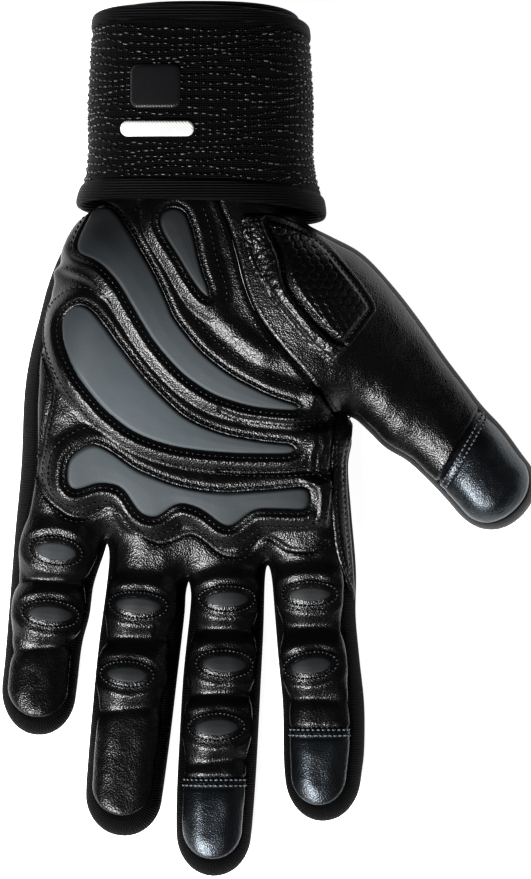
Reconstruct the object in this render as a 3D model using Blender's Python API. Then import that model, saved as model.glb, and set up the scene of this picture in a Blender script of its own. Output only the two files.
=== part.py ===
"""A padded weightlifting glove for the left hand, lying on its back with the palm up.

The frame: +Z points up out of the palm, +Y runs from the fingertips to the wrist and +X points to
the thumb. The origin is on the resting plane, under the middle of the palm.

Every piece of the skin follows one rule. Its plan is the glove's outline, and its height grows with
the distance from that outline, as a filled glove does. The tables hold plan sizes in millimetres.
"""

import math

import bmesh
import bpy
import numpy as np

MM = 0.001

# Thicknesses and clearances, in millimetres.
LEATHER = 1.4
KNIT = 1.2
SEAM_GAP = 0.3
PAD_LIFT = 0.85
ROUNDNESS = 2.2
REACH_SHARE = 0.9
SMOOTH_STEPS = 5
SLOPE_STEP = 0.25

# Heights of the palm side by place along the hand: y, top of the palm side, widest level.
HEIGHT_ROWS = [
    (-146.0, 16.5, 7.0),
    (-100.0, 18.4, 7.8),
    (-62.0, 20.0, 8.6),
    (-45.0, 23.0, 9.8),
    (-25.0, 28.5, 11.8),
    (0.0, 33.5, 14.0),
    (30.0, 37.0, 15.8),
    (46.0, 38.6, 18.0),
    (57.0, 39.8, 20.5),
    (70.0, 40.0, 20.5),
]

# Heights along the thumb: distance from the thumb's root, top, widest level.
THUMB_ROOT = (30.0, 30.0)
THUMB_AXIS = (0.712, -0.702)
THUMB_HEIGHT_ROWS = [
    (-60.0, 40.0, 20.0),
    (0.0, 36.5, 15.5),
    (30.0, 31.0, 12.5),
    (60.0, 26.0, 11.0),
    (100.0, 21.5, 9.5),
]
THUMB_BLEND = 25.0

# Soft mounds and hollows of the palm side: x, y, radius, height.
MOUNDS = [
    (32.0, 32.0, 24.0, 3.0),
    (-30.0, 24.0, 20.0, 1.5),
    (6.0, 6.0, 24.0, -2.0),
]

# Near the wrist the back of the glove rises off the table, into the wrap.
LIFT = 5.0
LIFT_FROM = 38.0
LIFT_TO = 50.0

# Sides of the outline, from the wrist down: y, x.
SIDES = {
    "palm_left": [
        (66.0, -28.6),
        (61.0, -28.9),
        (57.0, -31.0),
        (52.5, -36.3),
        (43.5, -41.7),
        (34.5, -45.3),
        (25.5, -47.7),
        (12.0, -51.0),
        (0.0, -52.6),
        (-20.0, -53.5),
        (-40.0, -55.4),
    ],
    "little_left": [(-60.0, -57.0), (-78.0, -58.5), (-87.0, -59.4)],
    "little_right": [(-46.5, -29.1), (-55.5, -32.1), (-64.5, -33.3), (-73.5, -35.6), (-87.0, -37.2)],
    "ring_left": [(-46.5, -27.1), (-55.5, -27.9), (-73.5, -30.3), (-91.5, -32.1), (-105.0, -33.3), (-118.5, -34.2)],
    "ring_right": [(-58.0, -4.4), (-64.5, -4.8), (-82.5, -6.9), (-100.5, -9.0), (-118.5, -11.4)],
    "middle_left": [(-58.0, -2.6), (-64.5, -3.0), (-82.5, -4.9), (-100.5, -6.0), (-118.5, -6.9), (-130.0, -7.0)],
    "middle_right": [(-53.0, 19.4), (-69.0, 18.9), (-87.0, 18.0), (-105.0, 17.1), (-118.0, 16.3), (-130.0, 15.3)],
    "index_left": [(-53.0, 21.6), (-64.5, 22.6), (-78.0, 23.7), (-91.5, 25.0), (-105.0, 25.2), (-112.0, 25.5)],
    "index_right": [
        (-10.5, 45.6),
        (-19.5, 44.3),
        (-33.0, 45.2),
        (-51.0, 46.7),
        (-64.5, 46.6),
        (-78.0, 47.8),
        (-91.5, 49.2),
        (-105.0, 49.2),
        (-112.0, 48.4),
    ],
}

# The end of each finger: y of its tip, y where the leather ends, and the y of the leather's own
# rounding; then how far the leather stays inside the outline on its left and on its right.
FINGERS = {
    "little": {"tip": -100.8, "leather_end": -95.0, "round_from": -86.0, "left_inset": 1.8, "right_inset": 2.4},
    "ring": {"tip": -131.1, "leather_end": -124.5, "round_from": -115.5, "left_inset": 1.8, "right_inset": 3.2},
    "middle": {"tip": -143.1, "leather_end": -137.6, "round_from": -128.5, "left_inset": 1.8, "right_inset": 2.8},
    "index": {"tip": -126.6, "leather_end": -121.4, "round_from": -112.0, "left_inset": 1.8, "right_inset": 4.4},
}
END_SHARE = 1.05
PALM_INSET_ROWS = [(-60.0, 1.8), (-45.0, 2.6), (-25.0, 4.6), (0.0, 4.4), (30.0, 2.2), (70.0, 2.0)]
BACK_INSET = 2.6
THUMB_INSET = 2.4
SHOULDER_SHARE = 0.3

# Webs between the fingers: x and y of the deepest point, and how far above it the leather starts.
WEBS = {
    "little_ring": (-27.9, -43.0),
    "ring_middle": (-3.4, -54.3),
    "middle_index": (20.4, -49.5),
}
WEB_INSET = 1.7

# Cross rows of the palm, from the wrist to the webs, and of each finger below them.
PALM_ROWS = [66.0, 57.0, 52.5, 43.5, 34.0, 25.0, 17.0, 9.0, 2.0, -4.4, -13.0, -22.0, -31.0, -37.0, -41.3, -47.8, -52.6]
BACK_SKIPPED_ROWS = (34.0, 17.0, 2.0, -13.0, -31.0)
CROTCH_ROW = -4.4
FINGER_ROWS = {
    "little": [-61.0, -70.0, -79.0, -86.0, -91.5, -95.0],
    "ring": [-62.0, -74.0, -86.0, -98.0, -108.0, -115.5, -121.0, -124.5],
    "middle": [-62.0, -74.0, -86.0, -98.0, -106.0, -113.0],
    "index": [-61.0, -71.0, -81.0, -90.0, -98.0],
}
CAP_ROWS = {
    "middle": [-113.3, -121.0, -128.5, -134.0, -137.6],
    "index": [-98.3, -105.0, -112.0, -118.0, -121.4],
}
# Shares of a finger's width where its columns run.
FRONT_COLUMNS = [0.0, 0.12, 0.36, 0.64, 0.88, 1.0]
BACK_COLUMNS = [0.0, 0.3, 0.7, 1.0]
# x at the wrist of the lines that part the palm into its four rays.
RAY_TOPS = {"little_ring": -22.0, "ring_middle": -13.5, "middle_index": -5.0}

# The seam between the palm and the thumb, from the wrist to the crotch: y, x.
THUMB_SEAM = [
    (66.0, 3.4),
    (57.0, 6.2),
    (52.5, 8.2),
    (43.5, 11.0),
    (34.0, 13.5),
    (25.0, 17.4),
    (17.0, 23.1),
    (9.0, 30.3),
    (2.0, 35.5),
    (-4.4, 39.3),
]
CROTCH = (42.4, -4.3)

# Cross rows of the thumb: outer x and y, inner x and y, and how much each row keeps of the seam's bow.
# The first two rows end at the wrist's free edge, and the rest end on the outline.
THUMB_ROWS = [
    (12.0, 66.0, 40.2, -3.4, 1.05),
    (20.0, 66.0, 40.9, -2.8, 1.1),
    (28.6, 66.0, 42.6, -4.4, 1.3),
    (30.0, 57.0, 43.4, -4.4, 0.9),
    (31.8, 52.6, 44.4, -4.6, 0.6),
    (39.0, 48.8, 45.8, -5.1, 0.4),
    (48.6, 43.5, 47.4, -6.0, 0.2),
    (58.0, 33.6, 51.2, -9.6, 0.0),
    (66.0, 23.3, 56.0, -14.3, 0.0),
    (73.0, 13.2, 62.0, -17.8, 0.0),
    (79.3, 4.9, 66.8, -22.0, 0.0),
    (84.6, -2.0, 70.4, -25.6, 0.0),
]
THUMB_FREE_ROWS = 2
THUMB_CAP_ROWS = [(90.6, -8.4, 75.0, -30.6, 0.0)]
THUMB_TIP_CENTRE = (87.6, -25.7)
THUMB_TIP_HALF_WIDTH = 12.8
THUMB_TIP_LENGTH = 12.6
THUMB_TIP_POWER = 2.2
# The last rows of the thumb cap, as shares of the leather's own rounded end.
THUMB_END_SHARES = [0.0, 0.42, 0.72, 0.92]
THUMB_END_INSET = 3.0

# The padded pieces of the palm. Each inlay is given by its two ends and its two sides.
PALM_PADS = {
    "small": {
        "ends": [(-7.8, 55.2), (3.2, 30.2)],
        "side_a": [(-5.0, 54.2), (-2.4, 50.4), (-0.6, 43.6), (1.2, 37.2), (3.2, 32.4)],
        "side_b": [(-10.6, 54.0), (-11.4, 51.2), (-8.8, 46.4), (-4.6, 39.8), (-0.4, 33.6)],
        "ridge": 3.1,
        "stations": 8,
    },
    "long": {
        "ends": [(-26.2, 52.8), (29.8, -1.7)],
        "side_a": [(-22.6, 51.4), (-17.4, 44.3), (-10.1, 30.1), (-4.3, 20.1), (4.4, 11.4), (15.5, 4.4), (26.5, 0.0)],
        "side_b": [
            (-30.2, 50.0),
            (-34.2, 44.8),
            (-31.6, 41.6),
            (-24.4, 35.0),
            (-17.1, 22.8),
            (-6.0, 8.8),
            (5.0, 1.5),
            (15.0, -1.6),
            (26.5, -2.9),
        ],
        "ridge": 4.2,
        "stations": 16,
    },
    "middle": {
        "ends": [(-35.6, 28.6), (29.2, -14.3)],
        "side_a": [(-30.6, 25.4), (-23.6, 15.9), (-16.4, 6.7), (-7.6, -2.4), (3.0, -8.4), (14.8, -11.5), (26.4, -12.6)],
        "side_b": [
            (-39.4, 24.4),
            (-39.4, 15.4),
            (-35.1, 5.6),
            (-28.6, -2.4),
            (-19.8, -9.2),
            (-8.0, -13.4),
            (5.0, -15.3),
            (16.0, -15.9),
            (26.4, -15.6),
        ],
        "ridge": 4.2,
        "stations": 14,
    },
    "wavy": {
        "ends": [(-39.4, -22.0), (32.8, -28.6)],
        "side_a": [
            (-38.4, -17.0),
            (-31.9, -12.8),
            (-25.4, -15.9),
            (-17.4, -20.8),
            (-7.6, -25.0),
            (4.0, -27.0),
            (15.0, -26.8),
            (24.0, -26.2),
            (31.4, -25.8),
        ],
        "side_b": [
            (-37.1, -26.4),
            (-30.2, -24.6),
            (-23.3, -25.8),
            (-18.6, -32.2),
            (-13.6, -34.4),
            (-8.2, -31.3),
            (-2.4, -31.1),
            (3.7, -34.5),
            (9.2, -37.1),
            (14.8, -33.5),
            (20.5, -31.9),
            (31.2, -32.0),
        ],
        "ridge": 4.2,
        "stations": 16,
    },
}
# A padded piece from its outer edge to its inlay: share of the ridge's width, height over its base.
RIDGE_ROWS = [(1.0, 0.5), (0.72, 1.9), (0.38, 2.4)]
LIP_HEIGHT = 1.4
FLOOR_THICKNESS = 0.5
INLAY_THICKNESS = 0.9
INLAY_BEVEL = 0.5
# How far a corner may reach, as a share of the width, when a ring is widened a little or a lot.
NARROW_WIDTH = 1.0
SHARP_CORNER = 2.0
WIDE_CORNER = 1.15
WRAP_EDGE_Y = 55.6
PAD_EDGE_MARGIN = 4.0

# Oval pads between the finger joints: name, x, y, length, height, tilt in degrees.
FINGER_PADS = [
    ("little_1", -42.8, -44.6, 11.0, 6.0, -8.0),
    ("little_2", -44.8, -63.6, 11.8, 5.5, -5.0),
    ("ring_1", -18.0, -61.1, 12.0, 5.5, -3.0),
    ("ring_2", -21.1, -82.1, 11.0, 5.3, -3.0),
    ("middle_1", 8.2, -59.1, 10.9, 5.3, 0.0),
    ("middle_2", 7.3, -78.9, 11.6, 5.7, -1.0),
    ("middle_3", 5.2, -97.8, 11.6, 5.6, 2.0),
    ("index_1", 33.2, -57.6, 11.3, 4.9, 0.0),
    ("index_2", 33.8, -79.3, 11.0, 5.5, 8.0),
]
FINGER_PAD_RIDGE = 3.0
FINGER_PAD_STATIONS = 5
FINGER_RIDGE_ROWS = [(1.0, 0.4), (0.55, 1.5)]
FINGER_LIP_HEIGHT = 1.1
FINGER_INLAY_THICKNESS = 0.6

# The strip along the index side of the palm, and the embossed patch at the thumb's root.
EDGE_STRIP = {
    "ends": [(41.2, -9.0), (46.2, -61.0)],
    "side_a": [(43.0, -11.5), (42.0, -20.0), (42.8, -32.0), (44.6, -46.0), (45.4, -54.0)],
    "side_b": [(39.3, -12.0), (38.9, -20.0), (39.0, -32.0), (40.2, -45.0), (43.2, -54.0)],
    "stations": 9,
    "height": 1.0,
}
THENAR_PATCH = {
    "ends": [(12.8, 53.4), (43.2, 15.2)],
    "side_a": [(19.0, 53.6), (25.0, 50.6), (34.5, 45.4), (43.6, 37.8), (50.0, 30.0), (50.6, 24.0)],
    "side_b": [(12.7, 49.6), (14.8, 41.8), (19.2, 33.3), (25.1, 25.2), (32.7, 16.8), (39.2, 11.2)],
    "stations": 10,
    "height": 1.9,
}

# The wrist wrap: its section, its edges (middle, lean towards the top, skew towards the left), and
# its rows of width: y, half width, height.
WRAP_ROWS = [(50.0, 37.2, 46.4), (60.0, 36.2, 46.2), (66.0, 34.4, 46.0), (90.0, 33.4, 45.4), (106.0, 32.4, 44.4), (120.0, 31.0, 43.0)]
WRAP_MIDDLE_X = 0.2
WRAP_SINK = 0.6
WRAP_UPPER_POWER = 2.7
WRAP_LOWER_POWER = 2.8
WRAP_SIDES = 24
WRAP_LOW_EDGE = (56.0, 3.2, 1.8)
WRAP_HIGH_EDGE = (113.0, 4.3, 1.5)
WRAP_INNER_LOW_EDGE = (64.5, 0.0, 0.0)
WRAP_INNER_HIGH_EDGE = (114.0, 4.5, 0.0)
WRAP_OUTER_LEVELS = (0.0, -1.7)
WRAP_INNER_LEVELS = (-2.4, -3.7)
WRAP_BINDINGS = {
    "bottom": {"height": 6.5, "levels": (0.5, -2.0)},
    "top": {"height": 4.5, "levels": (0.4, -2.0)},
    "inner": {"height": 4.0, "levels": (-2.3, -4.0)},
}

MATERIALS = {
    "leather": {"colour": (0.012, 0.012, 0.014, 1.0), "roughness": 0.38},
    "grip": {"colour": (0.016, 0.018, 0.022, 1.0), "roughness": 0.26},
    "inlay": {"colour": (0.05, 0.06, 0.064, 1.0), "roughness": 0.6},
    "knit": {"colour": (0.01, 0.01, 0.011, 1.0), "roughness": 0.9},
    "wrap": {"colour": (0.013, 0.013, 0.015, 1.0), "roughness": 0.85},
}


def clear_scene():
    for obj in list(bpy.data.objects):
        bpy.data.objects.remove(obj)


def read_table(rows, column, at):
    """Reads one column of a table of rows at a place, with a smooth curve through the rows."""
    table = np.array(rows, dtype=float)
    table = table[np.argsort(table[:, 0])]
    keys = table[:, 0]
    values = table[:, column]
    slopes = np.gradient(values, keys)
    at = np.asarray(at, dtype=float)
    left = np.clip(np.searchsorted(keys, at) - 1, 0, len(keys) - 2)
    span = keys[left + 1] - keys[left]
    t = np.clip((at - keys[left]) / span, 0.0, 1.0)
    start = (2 * t**3 - 3 * t**2 + 1) * values[left]
    end = (3 * t**2 - 2 * t**3) * values[left + 1]
    leave = (t**3 - 2 * t**2 + t) * span * slopes[left]
    arrive = (t**3 - t**2) * span * slopes[left + 1]
    return start + end + leave + arrive


def smooth_curve(points, steps):
    """A smooth open curve through the points, with some steps between each two of them."""
    points = np.array(points, dtype=float)
    before = 2 * points[0] - points[1]
    after = 2 * points[-1] - points[-2]
    padded = np.vstack([before, points, after])
    curve = []
    for index in range(1, len(padded) - 2):
        a, b, c, d = padded[index - 1 : index + 3]
        for step in range(steps):
            t = step / steps
            curve.append(
                0.5 * (2 * b + (c - a) * t + (2 * a - 5 * b + 4 * c - d) * t**2 + (3 * b - a - 3 * c + d) * t**3)
            )
    curve.append(points[-1])
    return np.array(curve)


def resample(points, count):
    """The same curve with a number of points at equal distances."""
    lengths = np.concatenate([[0.0], np.cumsum(np.linalg.norm(np.diff(points, axis=0), axis=1))])
    at = np.linspace(0.0, lengths[-1], count)
    return np.column_stack([np.interp(at, lengths, points[:, axis]) for axis in range(points.shape[1])])


def smoothstep(value):
    value = np.clip(value, 0.0, 1.0)
    return value * value * (3 - 2 * value)


def swap(rows):
    """Rows of y, x as points of x, y."""
    return [(x, y) for y, x in rows]


def side_rows(finger, side):
    if (finger, side) == ("little", "left"):
        return SIDES["palm_left"] + SIDES["little_left"]
    return SIDES[f"{finger}_{side}"]


def tip_ellipse(finger):
    """Centre and half axes of the half ellipse that ends a finger."""
    y, left = side_rows(finger, "left")[-1]
    right = side_rows(finger, "right")[-1][1]
    return np.array([(left + right) / 2, y]), (right - left) / 2, y - FINGERS[finger]["tip"]


def tip_points(finger, count):
    centre, half_width, length = tip_ellipse(finger)
    angles = np.linspace(math.pi, 2 * math.pi, count)
    return [(centre[0] + half_width * math.cos(a), centre[1] + length * math.sin(a)) for a in angles[1:-1]]


def thumb_tip_points(count):
    axis = np.array(THUMB_AXIS)
    across = np.array([-axis[1], axis[0]])
    points = []
    for angle in np.linspace(0.0, math.pi, count):
        side = math.copysign(abs(math.cos(angle)) ** (2 / THUMB_TIP_POWER), -math.cos(angle))
        along = math.sin(angle) ** (2 / THUMB_TIP_POWER)
        points.append(
            np.array(THUMB_TIP_CENTRE) + across * side * THUMB_TIP_HALF_WIDTH + axis * along * THUMB_TIP_LENGTH
        )
    return points


def outline_points():
    """The outline in plan, from the wrist's left side round all the tips to its right side."""
    points = [(SIDES["palm_left"][0][1], 130.0)]
    points += swap(side_rows("little", "left")) + tip_points("little", 9) + swap(side_rows("little", "right"))[::-1]
    for web, finger in (("little_ring", "ring"), ("ring_middle", "middle"), ("middle_index", "index")):
        points.append(WEBS[web])
        points += swap(side_rows(finger, "left")) + tip_points(finger, 9) + swap(side_rows(finger, "right"))[::-1]
    points.append(CROTCH)
    rows = THUMB_ROWS[THUMB_FREE_ROWS + 1 :] + THUMB_CAP_ROWS
    points += [row[2:4] for row in rows[1:]]
    points += thumb_tip_points(9)
    points += [row[0:2] for row in reversed(rows)]
    points += [THUMB_ROWS[THUMB_FREE_ROWS][0:2], (THUMB_ROWS[THUMB_FREE_ROWS][0], 130.0)]
    return smooth_curve(points, SMOOTH_STEPS)


OUTLINE = outline_points()
SEAM_LINE = smooth_curve(swap(THUMB_SEAM), SMOOTH_STEPS)


def distance_to(line, points):
    """The distance in plan from each point to a line of segments."""
    starts = line[:-1]
    runs = line[1:] - starts
    from_start = points[:, None, :] - starts[None, :, :]
    share = np.clip((from_start * runs).sum(axis=2) / np.maximum((runs**2).sum(axis=1), 1e-9), 0.0, 1.0)
    nearest = starts[None, :, :] + share[:, :, None] * runs[None, :, :]
    return np.linalg.norm(points[:, None, :] - nearest, axis=2).min(axis=1)


def section_heights(points, thumb):
    """Top and widest level of the skin at each plan point."""
    top = read_table(HEIGHT_ROWS, 1, points[:, 1])
    middle = read_table(HEIGHT_ROWS, 2, points[:, 1])
    if thumb:
        along = (points - np.array(THUMB_ROOT)) @ np.array(THUMB_AXIS)
        blend = smoothstep(distance_to(SEAM_LINE, points) / THUMB_BLEND)
        top = top + (read_table(THUMB_HEIGHT_ROWS, 1, along) - top) * blend
        middle = middle + (read_table(THUMB_HEIGHT_ROWS, 2, along) - middle) * blend
    for x, y, radius, height in MOUNDS:
        away = np.hypot(points[:, 0] - x, points[:, 1] - y) / radius
        top = top + height * np.exp(-(away**2))
    return top, middle


def swell(share):
    """How far the skin has risen at a share of its rounding, from 0 at the outline to 1."""
    share = np.clip(share, 0.0, 1.0)
    return (1 - (1 - share) ** ROUNDNESS) ** (1 / ROUNDNESS)


def front_height(points, thumb):
    points = np.atleast_2d(np.array(points, dtype=float))
    top, middle = section_heights(points, thumb)
    reach = REACH_SHARE * (top - middle)
    return middle + (top - middle) * swell(distance_to(OUTLINE, points) / reach)


def back_height(points, thumb):
    points = np.atleast_2d(np.array(points, dtype=float))
    middle = section_heights(points, thumb)[1]
    lift = LIFT * smoothstep((points[:, 1] - LIFT_FROM) / (LIFT_TO - LIFT_FROM))
    reach = REACH_SHARE * (middle - lift)
    return lift + (middle - lift) * (1 - swell(distance_to(OUTLINE, points) / reach))


def skin_normals(points, thumb, back):
    """The skin's outward normals at plan points."""
    height = back_height if back else front_height
    slope_x = (height(points + [SLOPE_STEP, 0], thumb) - height(points - [SLOPE_STEP, 0], thumb)) / (2 * SLOPE_STEP)
    slope_y = (height(points + [0, SLOPE_STEP], thumb) - height(points - [0, SLOPE_STEP], thumb)) / (2 * SLOPE_STEP)
    normal = np.column_stack([-slope_x, -slope_y, np.ones(len(points))])
    if back:
        normal = -normal
    return normal / np.linalg.norm(normal, axis=1)[:, None]


def on_front(points, lift, thumb):
    """Plan points as places over the palm side, raised by a height along the skin's normal."""
    points = np.atleast_2d(np.array(points, dtype=float))
    base = np.column_stack([points, front_height(points, thumb)])
    return base + skin_normals(points, thumb, False) * np.reshape(lift, (-1, 1))


def new_material(name, look):
    material = bpy.data.materials.new(name)
    material.use_nodes = True
    shader = material.node_tree.nodes["Principled BSDF"]
    shader.inputs["Base Color"].default_value = MATERIALS[look]["colour"]
    shader.inputs["Roughness"].default_value = MATERIALS[look]["roughness"]
    shader.inputs["Metallic"].default_value = 0.0
    return material


def add_object(name, points, faces, look):
    """Makes a closed object from places in millimetres."""
    shape = bmesh.new()
    corners = [shape.verts.new(np.array(point) * MM) for point in points]
    for face in faces:
        shape.faces.new([corners[index] for index in face])
    bmesh.ops.recalc_face_normals(shape, faces=shape.faces)
    mesh = bpy.data.meshes.new(name)
    shape.to_mesh(mesh)
    shape.free()
    obj = bpy.data.objects.new(name, mesh)
    bpy.context.scene.collection.objects.link(obj)
    mesh.shade_smooth()
    mesh.set_sharp_from_angle(angle=math.radians(50))
    mesh.materials.append(new_material(name, look))
    return obj


def add_sheet(name, points, normals, faces, look, wall):
    """Makes a closed wall from its outer face, which it thickens inwards against the normals."""
    points = np.array(points, dtype=float)
    count = len(points)
    edges = {}
    for face in faces:
        for start, end in zip(face, face[1:] + face[:1]):
            key = (min(start, end), max(start, end))
            edges[key] = edges.get(key, 0) + 1
    closed = list(faces)
    closed += [tuple(index + count for index in reversed(face)) for face in faces]
    closed += [(start, end, end + count, start + count) for (start, end), uses in edges.items() if uses == 1]
    return add_object(name, np.vstack([points, points - np.array(normals) * wall]), closed, look)


def outline_x(finger, side, y):
    """x of a finger's side at a place along it, with the round of its tip."""
    centre, half_width, length = tip_ellipse(finger)
    if y < centre[1]:
        reach = half_width * math.sqrt(max(0.0, 1 - ((centre[1] - y) / length) ** 2))
        return centre[0] - reach if side == "left" else centre[0] + reach
    return float(read_table(side_rows(finger, side), 1, y))


def leather_x(finger, side, y, back):
    """x of the edge of a finger's leather, which stays inside the outline and has a round end."""
    spec = FINGERS[finger]
    inset = BACK_INSET if back else spec[f"{side}_inset"]
    if not back and (finger, side) == ("little", "left"):
        inset = float(read_table(PALM_INSET_ROWS, 1, y))
    sign = 1 if side == "left" else -1
    at = max(y, spec["round_from"])
    edge = outline_x(finger, side, at) + sign * inset
    if y >= spec["round_from"]:
        return edge
    middle = (leather_x(finger, "left", at, back) + leather_x(finger, "right", at, back)) / 2
    length = (spec["round_from"] - spec["leather_end"]) * END_SHARE
    return middle + (edge - middle) * math.sqrt(1 - ((at - y) / length) ** 2)


def web_between(left_finger, right_finger):
    return f"{left_finger}_{right_finger}"


def ray_edge(finger, side, y, back):
    """x of the edge of a finger's ray: a line inside the palm, or the edge of the leather."""
    order = list(FINGERS)
    place = order.index(finger)
    web = None
    if side == "left" and place > 0:
        web = web_between(order[place - 1], finger)
    if side == "right" and place < len(order) - 1:
        web = web_between(finger, order[place + 1])
    if web:
        web_x, web_y = WEBS[web]
        web_y += WEB_INSET
        if y >= web_y - 1e-6:
            share = (y - web_y) / (PALM_ROWS[0] - web_y)
            return web_x + (RAY_TOPS[web] - web_x) * share, web
    if finger == "index" and side == "right" and y >= CROTCH_ROW - 1e-6:
        return float(read_table(THUMB_SEAM, 1, y)) - SEAM_GAP * 0.7, None
    return leather_x(finger, side, y, back), None


def build_hand_sheet(name, back):
    """The palm side or the back: four rays of columns, joined in the palm and parted at the webs."""
    columns = BACK_COLUMNS if back else FRONT_COLUMNS
    palm_rows = [y for y in PALM_ROWS if not (back and y in BACK_SKIPPED_ROWS)]
    places = {}
    points = []
    faces = []
    for finger in FINGERS:
        rows = palm_rows + FINGER_ROWS[finger]
        if back:
            rows = rows + CAP_ROWS.get(finger, [])[1:]
        grid = []
        for y in rows:
            left, left_web = ray_edge(finger, "left", y, back)
            right, right_web = ray_edge(finger, "right", y, back)
            line = []
            for share in columns:
                web = left_web if share == 0 else right_web if share == 1 else None
                key = (web, y) if web else (finger, share, y)
                if key not in places:
                    places[key] = len(points)
                    points.append((left + (right - left) * share, y))
                line.append(places[key])
            grid.append(line)
        faces += grid_faces(grid)
    plan = np.array(points)
    add_skin(name, plan, faces, "leather", False, back)


def add_skin(name, plan, faces, look, thumb, back):
    """Makes a leather wall of the skin from its plan."""
    heights = back_height(plan, thumb) if back else front_height(plan, thumb)
    places = np.column_stack([plan, heights])
    add_sheet(name, places, skin_normals(plan, thumb, back), faces, look, LEATHER)


def grid_faces(grid):
    faces = []
    for upper, lower in zip(grid, grid[1:]):
        for column in range(len(upper) - 1):
            faces.append((upper[column], upper[column + 1], lower[column + 1], lower[column]))
    return faces


def build_finger_cap(finger):
    """The grip leather on a fingertip, which carries on the palm side's surface past a seam."""
    plan = []
    for y in CAP_ROWS[finger]:
        left = leather_x(finger, "left", y, False)
        right = leather_x(finger, "right", y, False)
        plan += [(left + (right - left) * share, y) for share in FRONT_COLUMNS]
    count = len(FRONT_COLUMNS)
    grid = [list(range(row * count, (row + 1) * count)) for row in range(len(CAP_ROWS[finger]))]
    add_skin(f"{finger}_cap", np.array(plan), grid_faces(grid), "grip", False, False)


def tip_outline_point(finger, edge):
    """The outline's point that lies beyond an edge point, as seen from the centre of the tip."""
    centre, half_width, length = tip_ellipse(finger)
    away = np.array(edge) - centre
    stretch = 1 / math.hypot(away[0] / half_width, away[1] / length)
    return centre + away * stretch


def finger_stations(finger, side):
    """Side stations of one finger, from its top to its tip: outline, front edge, back edge."""
    rows = FINGER_ROWS[finger] + CAP_ROWS.get(finger, [])[1:]
    palm_rows = [y for y in PALM_ROWS if ray_edge(finger, side, y, False)[1] is None]
    if (finger, side) == ("index", "right"):
        palm_rows = [y for y in palm_rows if y < CROTCH_ROW]
    stations = []
    for y in palm_rows + rows:
        front = np.array([leather_x(finger, side, y, False), y])
        back = np.array([leather_x(finger, side, y, True), y])
        if y >= tip_ellipse(finger)[0][1]:
            outer = np.array([outline_x(finger, side, y), y])
        else:
            outer = tip_outline_point(finger, front)
        stations.append((outer, front, back))
    middle = tip_ellipse(finger)[0][0] + (-SEAM_GAP / 2 if side == "left" else SEAM_GAP / 2)
    end = np.array([middle, FINGERS[finger]["leather_end"]])
    stations.append((np.array([middle, FINGERS[finger]["tip"]]), end, end))
    return stations


def band_section(outer, front, back, thumb):
    """One section of a side wall, from the palm side's edge round the outline to the back's edge."""
    front_gap = 1 - SEAM_GAP / np.linalg.norm(front - outer)
    back_gap = 1 - SEAM_GAP / np.linalg.norm(back - outer)
    upper = outer + (front - outer) * front_gap
    shoulder = outer + (front - outer) * SHOULDER_SHARE
    lower = outer + (back - outer) * back_gap
    plan = [upper, shoulder, outer, lower]
    heights = [front_height(point, thumb)[0] for point in plan[:3]] + [back_height(lower, thumb)[0]]
    aside = np.append(outer - front, 0.0) / np.linalg.norm(outer - front)
    upper_normal = skin_normals(np.array([upper]), thumb, False)[0]
    lower_normal = skin_normals(np.array([lower]), thumb, True)[0]
    shoulder_normal = (upper_normal + aside) / np.linalg.norm(upper_normal + aside)
    points = [(*point, height) for point, height in zip(plan, heights)]
    return points, [upper_normal, shoulder_normal, aside, lower_normal]


def build_band(name, stations, look, thumb=False):
    """A side wall along a row of stations."""
    points = []
    normals = []
    for station in stations:
        section, section_normals = band_section(*station, thumb)
        points += section
        normals += section_normals
    count = len(points) // len(stations)
    grid = [list(range(row * count, (row + 1) * count)) for row in range(len(stations))]
    add_sheet(name, points, normals, grid_faces(grid), look, KNIT)


def build_finger_walls():
    build_band("side_little", finger_stations("little", "left"), "knit")
    order = list(FINGERS)
    for left_finger, right_finger in zip(order, order[1:]):
        web = web_between(left_finger, right_finger)
        tip = np.array(WEBS[web])
        edge = tip + [0.0, WEB_INSET]
        back_edge = tip + [0.0, WEB_INSET]
        rising = finger_stations(left_finger, "right")[::-1]
        falling = finger_stations(right_finger, "left")
        build_band(f"web_{web}", rising + [(tip, edge, back_edge)] + falling, "knit")
    stations = finger_stations("index", "right")[::-1]
    gap = np.array([0.0, -SEAM_GAP])
    crotch_edge = np.array([THUMB_SEAM[-1][1] - SEAM_GAP * 0.7, CROTCH_ROW]) + gap
    stations.append((np.array(CROTCH) + gap, crotch_edge, crotch_edge))
    build_band("side_index", stations, "knit")


def thumb_line(row, columns):
    """Plan points of one cross row of the thumb, with the seam's bow where the row keeps some."""
    start = np.array(row[0:2])
    end = np.array(row[2:4])
    seam = np.array(swap([(y, x) for y, x in THUMB_SEAM if y in columns]))
    lengths = np.concatenate([[0.0], np.cumsum(np.linalg.norm(np.diff(seam, axis=0), axis=1))])
    shares = (lengths / lengths[-1])[:, None]
    bow = seam - (seam[0] + (seam[-1] - seam[0]) * shares)
    return start + (end - start) * shares + bow * row[4]


def inset_rows(rows, free_rows, inset):
    """Cross rows with their ends moved inside the outline, square to it."""
    rows = np.array(rows, dtype=float)
    moved = rows.copy()
    for index in range(free_rows, len(rows)):
        for column, turn in ((0, 1), (2, -1)):
            before = rows[max(index - 1, free_rows), column : column + 2]
            after = rows[min(index + 1, len(rows) - 1), column : column + 2]
            run = (after - before) / np.linalg.norm(after - before)
            moved[index, column : column + 2] += np.array([run[1], -run[0]]) * turn * inset
    return [tuple(row) for row in moved]


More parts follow.
